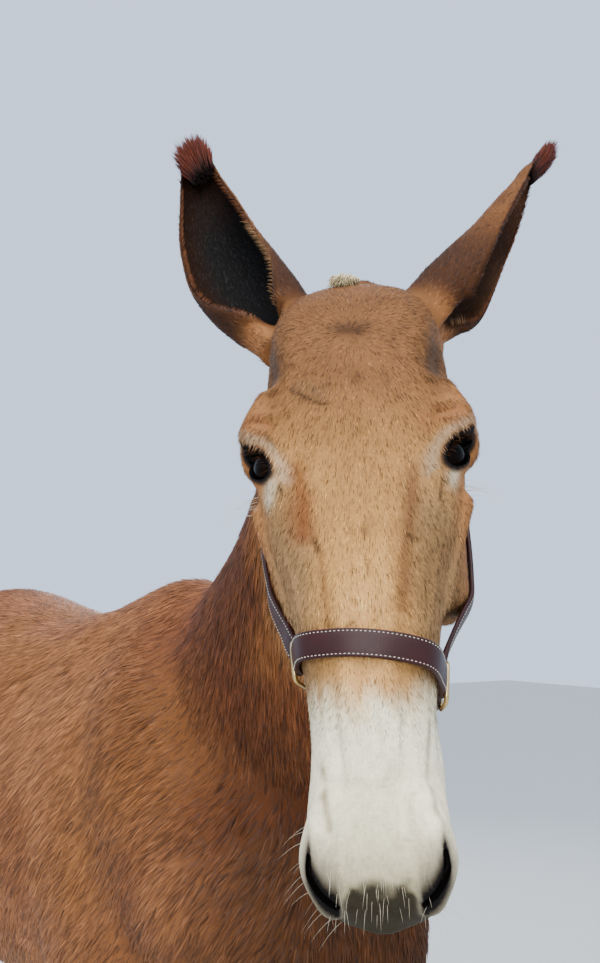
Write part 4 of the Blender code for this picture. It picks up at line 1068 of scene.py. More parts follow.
def coat_colours(points, normals):
    """The hair's linear colour at each point."""
    coat = bpy.context.scene.mule_coat
    local, head, ears, neck_part, leg = regions(points)
    x, y, s = local.T
    colours = np.tile(np.array(coat.sorrel), (len(points), 1))

    def lay(code, weight):
        """Lays a colour over those so far."""
        nonlocal colours
        colours = mix(colours, linear(code), weight)

    def draw(marks):
        for rows, breadth, code, strength in marks:
            far = near_line(local, metres(rows if len(rows) > 1 else rows * 2)) / metres(breadth)
            lay(code, strength * head * np.exp(-far * far))

    body = 1 - head
    back = smooth_step(points[:, 2], 1.36, 1.50) * (1 - neck_part)
    lay(BACK_COLOUR, 0.8 * back)
    withers = np.exp(-((points[:, 1] + 0.10) / 0.19) ** 2) * smooth_step(points[:, 2], 1.32, 1.46)
    lay(WITHERS_COLOUR, 0.6 * withers * body)
    barrel = smooth_step(points[:, 1], -0.24, 0.08) * (1 - leg)
    lay(BARREL_COLOUR, 0.8 * barrel)
    lay(NECK_COLOUR, 0.9 * neck_part)
    # The breast darkens under the head: its own dark hair, and painted shadow cast by the head and neck
    breast_shadow = (1 - smooth_step(points[:, 1], -0.42, -0.20)) * (1 - smooth_step(points[:, 2], 1.15, 1.40))
    lay(BREAST_SHADOW_COLOUR, 0.85 * breast_shadow * body)
    elbow = np.exp(-(np.linalg.norm(np.abs(points) - (0.23, 0.28, 1.10), axis=1) / 0.13) ** 2)
    lay(BARREL_COLOUR, 0.55 * elbow)
    belly = 1 - smooth_step(points[:, 2], 0.80, 0.98)
    lay(BELLY_COLOUR, 0.45 * belly * (1 - leg))
    lay(CANNON_COLOUR, 0.7 * (1 - smooth_step(points[:, 2], 0.20, 0.55)))
    # Patches of 160 and 70 mm, some more golden and some darker
    patches = noise(points, 0.16, 4) + 0.6 * noise(points, 0.07, 5)
    gold = np.clip(0.75 * patches - 0.1, 0, 0.6) * body
    lay(GOLD_COLOUR, gold * (1 - 0.85 * breast_shadow))
    lay(SHADE_COLOUR, np.clip(-0.55 * patches - 0.1, 0, 0.35) * body)
    lay(BROW_COLOUR, head)
    lay(FOREHEAD_COLOUR, head * smooth_step(s, 0.06, 0.13))
    colours = mix(colours, coat.pale_gold, head * smooth_step(s, 0.16, 0.30))
    aside = smooth_step(np.abs(x), 0.030, 0.062) * smooth_step(s, 0.24, 0.32)
    lay(SIDE_COLOUR, 0.85 * aside * head)
    # A pale line down the nose: pale hair with a painted highlight where the nose faces the light
    line = np.exp(-(x / 0.030) ** 2) * smooth_step(s, 0.30, 0.42) * head
    lay(NOSE_PALE_AND_HIGHLIGHT_COLOUR, 0.85 * line)
    cheek = head * smooth_step(np.abs(x), 0.078, 0.10) * (1 - smooth_step(s, 0.30, 0.44))
    lay(CHEEK_COLOUR, 0.75 * cheek)
    jaw = head * smooth_step(y, 0.10, 0.20)
    lay(JAW_COLOUR, 0.7 * jaw)
    draw(MARKS)
    # The edge of the cream muzzle is ragged: streaks of 6 mm, and waves of 30 mm
    streaks = 0.010 * noise(local * (1, 1, 0.25), 0.006, 8) + 0.010 * noise(local, 0.03, 9)
    muzzle = head * smooth_step(s + streaks + 0.20 * np.abs(x), 0.456, 0.508)
    colours = mix(colours, coat.cream, muzzle)
    # Painted shade darkens the cream towards the lip, on the underside of the muzzle
    lower_muzzle_shade = muzzle * smooth_step(s, 0.572, 0.642)
    lay(LOWER_MUZZLE_SHADE_COLOUR, 0.75 * lower_muzzle_shade)
    draw(MUZZLE_MARKS)
    lip = smooth_step(s + 0.006 * noise(local, 0.008, 6), 0.624, 0.638) * head
    lip *= 1 - smooth_step(np.abs(x) - 0.026 - 0.8 * np.clip(s - 0.634, 0, 0.03), -0.003, 0.004)
    lay(LIP_COLOUR, 0.95 * lip)
    for side in (1, -1):
        share, high = eye_share(points, side)
        above = np.exp(-((share - 1.75) / 0.35) ** 2)
        lay(LID_COLOUR, 0.75 * head * (high > 0) * above)
        lay(LID_RIM_COLOUR, head * (1 - smooth_step(share, 1.15, 1.50)))
        lay(LID_EDGE_COLOUR, head * (1 - smooth_step(share, 1.02, 1.14)))
        far = np.linalg.norm(points - np.array(eye_middle(side)), axis=1)
        lay(LID_EDGE_COLOUR, 1.0 * (far < EYE_RADIUS + 0.0042))
        # Painted shade round the nostril: grey over its wing, darker at its edge and near black inside it
        wall = nostril_share(local, side)
        lay(NOSTRIL_WING_SHADE_COLOUR, 0.9 * head * (1 - smooth_step(wall, 1.4, 4.2)))
        lay(NOSTRIL_SHADE_COLOUR, 0.9 * head * (1 - smooth_step(wall, 1.1, 2.2)))
        lay(NOSTRIL_HOLLOW_SHADE_COLOUR, head * (1 - smooth_step(wall, 0.95, 1.30)))
    for name, part in ears.items():
        along, inside, rim, angle = ear_share(name, points, normals)
        lay(EAR_COLOUR, part)
        lay(EAR_LOW_COLOUR, 0.8 * part * (1 - smooth_step(along, 0.25, 0.60)))
        # The cup's colour is dark hair with painted shade over it, and its depth is near black painted shade
        lay(EARS[name]["cup"], part * inside)
        core = smooth_step(angle, -1.25, -0.35) * (1 - smooth_step(along, 0.62, 0.90))
        lay(EAR_CUP_SHADE_COLOUR, part * inside * core * EARS[name]["core"])
        pale = part * rim * (1 - smooth_step(along, 0.45, 0.65)) * (angle > 0) * inside * EARS[name]["pale"]
        lay(EAR_RIM_COLOUR, 0.75 * pale)
        lay(EAR_TIP_COLOUR, part * smooth_step(along, EARS[name]["dark"], 1.0))
    # Flecks of 12, 30 and 90 mm on the body, and of 3 and 11 mm on the muzzle
    flecks = 1 + 0.10 * noise(points, 0.012, 1) + 0.09 * noise(points, 0.030, 2)
    flecks += 0.07 * noise(points, 0.09, 3)
    fine = np.abs(noise(local * (1, 1, 0.5), 0.0032, 13)) * 0.22 + np.abs(noise(local, 0.011, 14)) * 0.12
    flecks *= 0.84 + 0.16 * muzzle - fine * muzzle
    return np.clip(colours * flecks[:, None], 0, 1)


def hair_lie(points, normals):
    """The way the hair lies at each point, along the skin."""
    local, head, ears, neck_part, leg = regions(points)
    x, _, s = local.T
    lie = np.tile(np.array((0.0, 0.75, -0.95)), (len(points), 1))
    lie = mix(lie, (0.05, 0.20, -1.0), neck_part)
    lie = mix(lie, (0.0, 0.15, -1.0), leg)
    turn = np.array(HEAD_TURN)
    down = np.column_stack((0.6 * x / 0.1, np.full(len(x), 0.25), np.full(len(x), -1.0)))
    whorl = np.column_stack((x, np.zeros(len(x)), 0.118 - s))
    far = np.linalg.norm(whorl, axis=1)
    pull = np.exp(-(far / 0.075) ** 2) + (s < 0.118)
    down = down * (1 - np.clip(pull, 0, 1))[:, None] + unit(whorl) * np.clip(pull, 0, 1)[:, None] * 1.2
    face = down @ turn.T
    lie = lie * (1 - head[:, None]) + face * head[:, None]
    for name, part in ears.items():
        lie = mix(lie, ear_frame(name)[1], part)
    lie -= normals * np.sum(lie * normals, axis=1, keepdims=True)
    return unit(lie)


# Hair

def strands(name, curves, flat, widths, thicks, colours, tips, places, taper, lifted=None):
    """Closed three-sided strands along curves, each narrowing to a point, in one mesh.

    curves holds the points of each strand, flat the way its broad side faces, places the spot of its root on
    the skin's unwrap, taper its breadth at each point, and lifted the normal that its shading leans to."""
    count, rings = len(curves), curves.shape[1] - 1
    ahead = unit(np.gradient(curves, axis=1))
    side = unit(np.cross(ahead, flat[:, None, :]))
    face = np.cross(side, ahead)
    verts = np.empty((count, rings * 3 + 1, 3))
    spots = np.empty((count, rings * 3 + 1, 2))
    for k in range(rings):
        w = (widths * taper[k] / 2)[:, None]
        t = (thicks * taper[k])[:, None]
        here = curves[:, k]
        verts[:, k * 3] = here - side[:, k] * w
        verts[:, k * 3 + 1] = here + side[:, k] * w
        verts[:, k * 3 + 2] = here + face[:, k] * t
        run = 0.003 * (k / rings - 0.5)
        for j, across in enumerate((-0.0015, 0.0015, 0.0)):
            spots[:, k * 3 + j] = places + np.array((across * taper[k], run))
    verts[:, -1] = curves[:, -1]
    spots[:, -1] = places + np.array((0, 0.0015))
    faces = [(0, 1, 2)]
    for k in range(rings - 1):
        a = k * 3
        for i, j in ((0, 1), (1, 2), (2, 0)):
            faces += [(a + j, a + i, a + 3 + i), (a + j, a + 3 + i, a + 3 + j)]
    a = rings * 3 - 3
    faces += [(a + 1, a, rings * 3), (a + 2, a + 1, rings * 3), (a, a + 2, rings * 3)]
    faces = np.array(faces)
    size = rings * 3 + 1
    corner = (faces[None] + (np.arange(count) * size)[:, None, None]).ravel()
    mesh = bpy.data.meshes.new(name)
    mesh.vertices.add(count * size)
    mesh.vertices.foreach_set("co", (verts.reshape(-1, 3) + np.array(SHIFT)).astype(np.float32).ravel())
    mesh.loops.add(len(corner))
    mesh.loops.foreach_set("vertex_index", corner.astype(np.int32))
    mesh.polygons.add(len(corner) // 3)
    mesh.polygons.foreach_set("loop_start", np.arange(0, len(corner), 3, dtype=np.int32))
    mesh.update(calc_edges=True)
    tint = mesh.color_attributes.new("hair_colour", "FLOAT_COLOR", "POINT")
    shade = np.ones((count, size, 4), np.float32)
    run = np.append(np.repeat(np.arange(rings), 3), rings) / rings
    shade[:, :, :3] = colours[:, None, :] + (tips - colours)[:, None, :] * run[None, :, None]
    tint.data.foreach_set("color", shade.ravel())
    layer = mesh.uv_layers.new(name="OFBake")
    layer.data.foreach_set("uv", spots.reshape(-1, 2)[corner].astype(np.float32).ravel())
    mesh.shade_smooth()
    if lifted is not None:
        own = normals_of(mesh).reshape(count, size, 3)
        soft = unit(own * 0.55 + lifted[:, None, :])
        mesh.normals_split_custom_set_from_vertices(soft.reshape(-1, 3))
    return put(name, mesh)


class Hide:
    """The finished skin with what hair needs to know of it, in the working frame."""

    def __init__(self, skin):
        mesh = skin.data
        mesh.calc_loop_triangles()
        corners = np.empty(len(mesh.loop_triangles) * 3, np.int32)
        mesh.loop_triangles.foreach_get("vertices", corners)
        loops = np.empty(len(mesh.loop_triangles) * 3, np.int32)
        mesh.loop_triangles.foreach_get("loops", loops)
        spots = np.empty(len(mesh.loops) * 2, np.float32)
        mesh.uv_layers["OFBake"].data.foreach_get("uv", spots)
        self.points = points_of(mesh) - np.array(SHIFT)
        self.normals = normals_of(mesh)
        self.corners = corners.reshape(-1, 3)
        self.spots = spots.reshape(-1, 2)[loops].reshape(-1, 3, 2)
        a, b, c = (self.points[self.corners[:, i]] for i in range(3))
        self.areas = np.linalg.norm(np.cross(b - a, c - a), axis=1) / 2
        self.middles = (a + b + c) / 3
        self.tree = BVHTree.FromPolygons(self.points.tolist(), self.corners.tolist())

    def places(self, points):
        """The nearest places on the unwrap to some points."""
        found = [self.tree.find_nearest(Vector(point))[2] for point in points]
        return self.spots[found].mean(axis=1)

    def scattered(self, weights, count, seed):
        """Random places on the skin: points, normals and places on the unwrap."""
        chance = np.random.default_rng(seed)
        odds = np.cumsum(self.areas * weights)
        picks = np.searchsorted(odds, chance.uniform(0, odds[-1], count))
        picks = np.minimum(picks, len(self.areas) - 1)
        u, v = chance.uniform(size=(2, count))
        flip = u + v > 1
        u[flip], v[flip] = 1 - u[flip], 1 - v[flip]
        share = np.column_stack((1 - u - v, u, v))
        rows = self.corners[picks]
        points = np.einsum("ij,ijk->ik", share, self.points[rows])
        normals = unit(np.einsum("ij,ijk->ik", share, self.normals[rows]))
        spots = np.einsum("ij,ijk->ik", share, self.spots[picks])
        return points, normals, spots, chance


hides = {}


def found_hide():
    if "skin" not in hides:
        raise RuntimeError("The skin has to be made first")
    return hides["skin"]


# Patterns in cells per metre. Hairs of 0.05 mm and leather's grain of 0.5 mm are too fine to show, so they are
# drawn as 2.4 and 1.1 mm. Clouds of oil in the leather are 22 mm wide, worn spots of the brass 6 mm, streaks of
# the horn 17 mm, and clouds in the floor's paint 330 mm
HAIR_GRAIN = 420.0
LEATHER_GRAIN = 900.0
OIL_CLOUDS = 45.0
BRASS_WEAR = 160.0
HORN_STREAKS = 60.0
FLOOR_CLOUDS = 3.0


def add_node(tree, kind, settings=(), **links):
    """Adds a shader node, with its settings by name and its inputs by socket name or by _ and number."""
    made = tree.nodes.new("ShaderNode" + kind)
    for name, value in dict(settings).items():
        setattr(made, name, value)
    for name, value in links.items():
        socket = made.inputs[int(name[1:])] if name[1:].isdigit() else made.inputs[name.replace("_", " ")]
        if isinstance(value, bpy.types.NodeSocket):
            tree.links.new(value, socket)
        else:
            socket.default_value = value
    return made


def new_material(name, **finish):
    """A material, with the finish set on its shader's own sockets by socket name."""
    made = bpy.data.materials.new(name)
    made.use_nodes = True
    tree = made.node_tree
    shader = tree.nodes["Principled BSDF"]
    for socket, value in finish.items():
        shader.inputs[socket.replace("_", " ")].default_value = value
    return made, tree, shader


def hide_material():
    """Hide under its short coat: matt and soft, with the hair as a fine relief and no clear highlight."""
    made, tree, shader = new_material("haired_hide", Roughness=0.72, IOR=1.45, Specular_IOR_Level=0.12)
    colour = add_node(tree, "VertexColor", {"layer_name": "hair_colour"})
    place = add_node(tree, "TexCoord")
    fine = add_node(tree, "TexNoise", Vector=place.outputs["Object"], Scale=HAIR_GRAIN,
                    Detail=3.0)
    shade = add_node(tree, "MapRange", Value=fine.outputs["Fac"], To_Min=0.72, To_Max=1.16)
    tinted = add_node(tree, "VectorMath", {"operation": "SCALE"}, _0=colour.outputs["Color"])
    tree.links.new(shade.outputs["Result"], tinted.inputs["Scale"])
    tree.links.new(tinted.outputs["Vector"], shader.inputs["Base Color"])
    relief = add_node(tree, "Bump", Strength=0.35, Distance=0.001, Height=fine.outputs["Fac"])
    tree.links.new(relief.outputs["Normal"], shader.inputs["Normal"])
    return made


def hair_material(name, roughness):
    """Guard hair of keratin, dry and unbrushed: a faint gloss along its length, darker at the root."""
    made, tree, shader = new_material(name, Roughness=roughness, IOR=1.55, Specular_IOR_Level=0.15)
    colour = add_node(tree, "VertexColor", {"layer_name": "hair_colour"})
    tree.links.new(colour.outputs["Color"], shader.inputs["Base Color"])
    return made


def paint(mesh, colours):
    """Sets the colour of each point of a mesh."""
    tint = mesh.color_attributes.new("hair_colour", "FLOAT_COLOR", "POINT")
    shade = np.ones((len(colours), 4), np.float32)
    shade[:, :3] = colours
    tint.data.foreach_set("color", shade.ravel())


def unwrapped(thing):
    """Unwraps the skin's own shape in patches."""
    bpy.ops.object.select_all(action="DESELECT")
    bpy.context.view_layer.objects.active = thing
    thing.select_set(True)
    thing.data.uv_layers.new(name="OFBake")
    bpy.ops.object.mode_set(mode="EDIT")
    bpy.ops.mesh.select_all(action="SELECT")
    bpy.ops.uv.smart_project(angle_limit=math.radians(70), island_margin=0.002)
    bpy.ops.object.mode_set(mode="OBJECT")
    return thing


class MULE_OT_skin(bpy.types.Operator):
    """The one skin of trunk, neck, head, ears and legs, inside the solids by the coat's depth"""
    bl_idname = "mule.skin"
    bl_label = "Skin"

    def execute(self, context):
        skin = skin_mesh()
        points, normals = points_of(skin.data), normals_of(skin.data)
        hides["surface"] = BVHTree.FromObject(skin, context.evaluated_depsgraph_get())
        _, head, ears, _, leg = regions(points)
        thin = np.clip(head + sum(ears.values()), 0, 1)
        depth = context.scene.mule_coat.depth * (1 - 0.75 * thin) * (1 - 0.4 * leg)
        set_points(skin.data, points - normals * depth[:, None])
        paint(skin.data, coat_colours(points, normals))
        skin.data.materials.append(hide_material())
        skin.data.shade_smooth()
        moved_to_frame(skin)
        unwrapped(skin)
        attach(skin, "root")
        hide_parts(*FLESH)
        hides["skin"] = Hide(skin)
        return {"FINISHED"}


class MULE_OT_short_coat(bpy.types.Operator):
    """Short hair that lies along the skin, in small tufts"""
    bl_idname = "mule.short_coat"
    bl_label = "Short coat"

    def execute(self, context):
        hide = found_hide()
        coat = context.scene.mule_coat
        look = hair_material("sorrel_guard_hair", 0.55)
        local, head, ears, _, _ = regions(hide.middles)
        face = np.clip(head + sum(ears.values()), 0, 1)
        bare = np.ones(len(face))
        for side in (1, -1):
            bare *= smooth_step(eye_share(hide.middles, side)[0], 1.25, 1.7)
            bare *= smooth_step(nostril_share(local, side), 1.5, 3.0)
            bare *= np.linalg.norm(hide.middles - np.array(eye_middle(side)), axis=1) > EYE_RADIUS + 0.0045
        # Each half of the coat: length and breadth of a tuft, and how far it lifts off the skin
        for name, weights, count, long, wide, lift in (
            ("coat_head", face * bare, coat.head_hairs, 0.0080, 0.0013, 0.18),
            ("coat_body", 1 - face, coat.body_hairs, 0.0250, 0.0038, 0.11),
        ):
            pieces = max(1, math.ceil(count / PIECE_TUFTS))
            for piece in range(pieces):
                points, normals, spots, chance = hide.scattered(weights, count // pieces, piece + 1)
                lie = hair_lie(points, normals)
                side = np.cross(normals, lie)
                stray = chance.normal(0, 0.10, len(lie)) + 0.20 * noise(points, 0.02, 7)
                lie = unit(lie + side * stray[:, None])
                muzzle = smooth_step(in_head(points)[:, 2], 0.47, 0.56) * (name == "coat_head")
                size = long * chance.uniform(0.7, 1.25, len(lie)) * (1 - 0.55 * muzzle)
                breadth = wide * (1 - 0.3 * muzzle)
                root = points - normals * 0.0008
                rise = size * lift * chance.uniform(0.5, 1.4, len(lie))
                tip = root + lie * size[:, None] + normals * rise[:, None]
                # One tuft in five is dark and one light. They clump by 5 mm on the head and 12 mm behind it
                contrast = 1 - 0.45 * (name == "coat_body")
                own = 1 + chance.normal(0.0, 0.34, len(lie)) * contrast * (1 - 0.3 * muzzle)
                kind = chance.choice((0.45, 1.0, 1.50), len(lie), p=(0.20, 0.60, 0.20))
                own *= kind ** (contrast * (1 - 0.5 * muzzle))
                own = np.clip(own, 0.15, 2.2)
                if name == "coat_head":
                    clump = noise(in_head(points) * (1, 1, 0.4), 0.005, 12)
                else:
                    clump = noise(points, 0.012, 12)
                own *= 1 + (0.20 - 0.08 * muzzle) * clump
                colours = coat_colours(points, normals) * own[:, None]
                # Each tuft runs from 0.6 of its colour at the root, painted shade under the tufts over it, to
                # 1.3 at the tip, a painted highlight
                made = strands(
                    f"{name}_{piece + 1}", np.stack((root, tip), axis=1), normals, breadth, breadth * 0.3,
                    np.clip(colours * 0.60, 0, 1), np.clip(colours * 1.30, 0, 1), spots, (1.0, 0.0),
                    unit(normals + chance.normal(0, 0.30, normals.shape)),
                )
                made.data.materials.append(look)
                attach(made, "root")
        return {"FINISHED"}


class MULE_OT_eyes(bpy.types.Operator):
    """Two dark eyes with a long pupil under a clear wet surface"""
    bl_idname = "mule.eyes"
    bl_label = "Eyes"

    def execute(self, context):
        # A clear wet cornea over a dark brown iris: nearly black, with one small sharp highlight
        look, tree, shader = new_material(
            "wet_cornea_over_brown_iris", Roughness=0.05, IOR=1.38, Specular_IOR_Level=0.05,
        )
        colour = add_node(tree, "VertexColor", {"layer_name": "hair_colour"})
        tree.links.new(colour.outputs["Color"], shader.inputs["Base Color"])
        for name, side in (("left", 1), ("right", -1)):
            eye = ball(eye_middle(side), EYE_RADIUS - 0.0002, 64, 48)
            eye.name = "eyeball_" + name
            place = eye_place(side).inverted()
            points = points_of(eye.data)
            local = np.array([place @ Vector(p) for p in points])
            x, y = local[:, 0] / PUPIL[0], local[:, 1] / PUPIL[1]
            far = np.hypot(local[:, 0], local[:, 1]) / IRIS
            front = local[:, 2] > 0
            colours = np.tile(np.array(linear(EYEBALL_COLOUR)), (len(points), 1))
            colours = mix(colours, linear(IRIS_COLOUR), (1 - smooth_step(far, 0.95, 1.1)) * front)
            pupil = 1 - smooth_step(np.hypot(x, y), 0.9, 1.15)
            colours = mix(colours, linear(PUPIL_COLOUR), pupil * front)
            paint(eye.data, colours)
            eye.data.shade_smooth()
            eye.data.materials.append(look)
            moved_to_frame(eye)
            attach(eye, "root")
            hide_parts("eye_" + name)
        return {"FINISHED"}


def hoof_rings(x, y, sides):
    rings = []
    for t, scale in HOOF_SHAPE:
        ring = []
        for a in turned(sides):
            back = math.sin(a)
            px = x + HOOF_WIDTH / 2 * scale * math.copysign(abs(math.cos(a)) ** 0.85, math.cos(a))
            py = y + HOOF_LENGTH / 2 * scale * back + HOOF_SLOPE * t * (1 - 0.3 * max(back, 0))
            top = CORONET_HEIGHT - CORONET_FALL * back / 2
            ring.append(Vector((px, py, top * t)))
        rings.append(ring)
    return rings


class MULE_OT_hooves(bpy.types.Operator):
    """Narrow upright hooves with growth rings"""
    bl_idname = "mule.hooves"
    bl_label = "Hooves"

    def execute(self, context):
        # Hoof horn, worn and unpolished: dull, streaked down and ringed, with a soft broad highlight
        look, tree, shader = new_material("hoof_horn", Roughness=0.5)
        place = add_node(tree, "TexCoord")
        # Growth rings run level round the hoof, some 14 mm apart, as coarse as they need to show
        rings = add_node(tree, "TexWave", {"bands_direction": "Z"}, Vector=place.outputs["Object"],
                         Scale=22.0, Distortion=1.5, Detail=2.0)
        streak = add_node(tree, "TexNoise", Vector=place.outputs["Object"],
                          Scale=HORN_STREAKS, Detail=4.0)
        low, high = ((*linear(code), 1) for code in HORN_COLOURS)
        blend = add_node(tree, "Mix", {"data_type": "RGBA"}, Factor=streak.outputs["Fac"],
                         _6=low, _7=high)
        tree.links.new(blend.outputs[2], shader.inputs["Base Color"])
        relief = add_node(tree, "Bump", Strength=0.3, Distance=0.001, Height=rings.outputs["Fac"])
        tree.links.new(relief.outputs["Normal"], shader.inputs["Normal"])
        for side, sign in (("left", 1), ("right", -1)):
            for leg, rows, step in (("fore", FORE_LEG, FORE_STEP[side]), ("hind", HIND_LEG, HIND_STEP[side])):
                x, y = rows[-1][:2]
                hoof = loft(f"horn_{leg}_{side}", hoof_rings(sign * x, y + step - HOOF_SLOPE, 48))
                hoof.data.shade_smooth()
                hoof.data.set_sharp_from_angle(angle=math.radians(55))
                hoof.data.materials.append(look)
                moved_to_frame(hoof)
                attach(hoof, "root")
                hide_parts(f"hoof_{leg}_{side}")
        return {"FINISHED"}


def grow(name, look, curves, flat, width, thick, colours, tips, taper, node=None):
    """A piece of longer hair, whose strands root on the skin."""
    count = len(curves)
    made = strands(name, curves, flat, np.full(count, width), np.full(count, thick), np.clip(colours, 0, 1),
                   np.clip(tips, 0, 1), found_hide().places(curves[:, 0]), taper)
    made.data.materials.append(look)
    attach(made, "root")
    if node:
        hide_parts(node)
    return made


def parts(*values):
    """Parts of a strand's length, ready to be multiplied with its curve."""
    return np.array(values)[None, :, None]


def in_disc(chance, count):
    """Random places in a disc: the angle, and how far from its middle, from 0 to 1."""
    return chance.uniform(0, 2 * math.pi, count), np.sqrt(chance.uniform(0, 1, count))


def straight(roots, ways, sizes, steps):
    """Straight strands from their roots."""
    return roots[:, None] + ways[:, None] * (sizes[:, None, None] * steps)


def varied(chance, colour, count, spread_by):
    """Copies of a colour, each a little lighter or darker."""
    return np.array(linear(colour)) * chance.normal(1.0, spread_by, (count, 1))


def crest_points():
    """Points on the skin along the crest from the withers to the poll, with the side and the way up."""
    path = spread(NECK, 5)
    line = []
    for i in range(MANE_START, len(path)):
        here, side, rise = neck_frame(path, i)
        found = hides["surface"].ray_cast(here + rise * (path[i][4] + REACH), -rise)[0]
        if found:
            line.append((*found, *side, *rise))
    return np.array(spread(line, CREST_STEPS))


class MULE_OT_mane(bpy.types.Operator):
    """The clipped mane, the tuft at the poll and the tail"""
    bl_idname = "mule.mane"
    bl_label = "Mane and tail"

    def execute(self, context):
        look = hair_material("flaxen_mane_hair", 0.5)
        chance = np.random.default_rng(11)
        line = crest_points()
        count = MANE_HAIRS
        at = np.sort(chance.uniform(0, len(line) - MANE_END, count))
        low = at.astype(int)
        row = line[low] + (line[low + 1] - line[low]) * (at - low)[:, None]
        here, side, rise = row[:, :3], unit(row[:, 3:6]), unit(row[:, 6:])
        ahead = unit(line[low + 1, :3] - line[low, :3])
        across = chance.normal(0, 0.45, count)
        tall = MANE_HEIGHT * np.clip(0.3 + at / CREST_STEPS / MANE_RISE, 0, 1)
        tall *= chance.uniform(0.75, 1.08, count)
        tall *= 1 - 0.25 * across * across
        tall *= np.clip((len(line) - MANE_END - at) / CREST_STEPS / MANE_FALL + 0.1, 0, 1)
        lean = side * (across * 0.5 + chance.normal(0, 0.10, count))[:, None]
        lean += ahead * chance.uniform(-0.35, 0.10, count)[:, None]
        root = here + side * (across * 0.009)[:, None] - rise * 0.004
        steps = parts(0.0, 0.5, 1.0)
        curves = straight(root, rise, tall + 0.004, steps)
        curves = curves + lean[:, None] * (tall[:, None, None] * steps ** 1.7)
        roots, tips = (varied(chance, code, count, 0.12) for code in MANE_COLOURS)
        grow("clipped_mane", look, curves, side, 0.0024, 0.0007, roots, tips, (1.0, 0.8, 0.0))

        count = POLL_HAIRS
        angle, far = in_disc(chance, count)
        x, y = POLL_RADIUS * far * np.cos(angle) - POLL_ASIDE, POLL_RADIUS * far * np.sin(angle)
        turn = np.array(HEAD_TURN)
        base = np.column_stack((x, POLL_PLACE[0] + y, np.full(count, -POLL_PLACE[1])))
        size = (1 - 0.3 * far) * chance.uniform(0.7, 1.05, count)
        aside = (x + POLL_ASIDE) * 0.4 - 0.007 + chance.normal(0, 0.003, count)
        lean = np.column_stack((aside, -POLL_FALL * size, np.zeros(count)))
        steps = parts(0.0, 0.3, 0.65, 1.0)
        lift = steps * (POLL_HEIGHT - 1.5 * POLL_HEIGHT * steps) + 0.012 * steps * far[:, None, None]
        curves = base[:, None] + np.array((0, 0, 1)) * lift + lean[:, None] * steps
        curves = curves @ turn.T + np.array(POLL)
        flat = np.column_stack((np.cos(angle), np.sin(angle), np.zeros(count))) @ turn.T
        roots, tips = (varied(chance, code, count, 0.15) for code in POLL_COLOURS)
        grow("poll_tuft", look, curves, flat, 0.0026, 0.0008, roots, tips, (1.0, 0.9, 0.6, 0.0))

        path = np.array(spread(TAIL_ROOT, 12))
        count = TAIL_HAIRS
        level = TAIL_ROOT_LOW + TAIL_ROOT_SPAN * chance.uniform(0, 1, count) ** 1.3
        row = path[np.argmin(np.abs(path[:, 2][None] - level[:, None]), axis=1)]
        angle = chance.uniform(0, 2 * math.pi, count)
        out = np.column_stack((np.cos(angle), 0.75 * np.sin(angle) + 0.15, np.zeros(count)))
        aside, behind = row[:, 3] * 0.8 * np.cos(angle), row[:, 4] * 0.8 * np.sin(angle)
        base = row[:, :3] + np.column_stack((aside, behind, np.zeros(count)))
        size = level - chance.uniform(*TAIL_ENDS, count) - 0.06 * (angle > math.pi)
        steps = parts(0.0, 0.10, 0.25, 0.45, 0.65, 0.83, 1.0)
        flare = TAIL_FLARE * chance.uniform(0.35, 1.0, count)[:, None, None]
        bulge = np.sin(np.minimum(1.0, steps * 1.6) * math.pi / 2) * (1 - 0.55 * steps * steps)
        sway = np.column_stack(
            (chance.normal(0, 0.006, count), chance.normal(0, 0.005, count), np.zeros(count))
        )
        curves = base[:, None] + out[:, None] * (flare * bulge)
        curves = curves - np.array((0, 0, 1)) * (size[:, None, None] * steps)
        curves = curves + sway[:, None] * np.sin(steps * chance.uniform(3, 9, count)[:, None, None])
        roots, tips = (varied(chance, code, count, 0.15) for code in TAIL_COLOURS)
        grow("tail_hair", look, curves, unit(out), 0.0042, 0.0012, roots, tips,
             (1.0, 1.0, 1.0, 0.9, 0.8, 0.5, 0.0), node="tail")
        return {"FINISHED"}


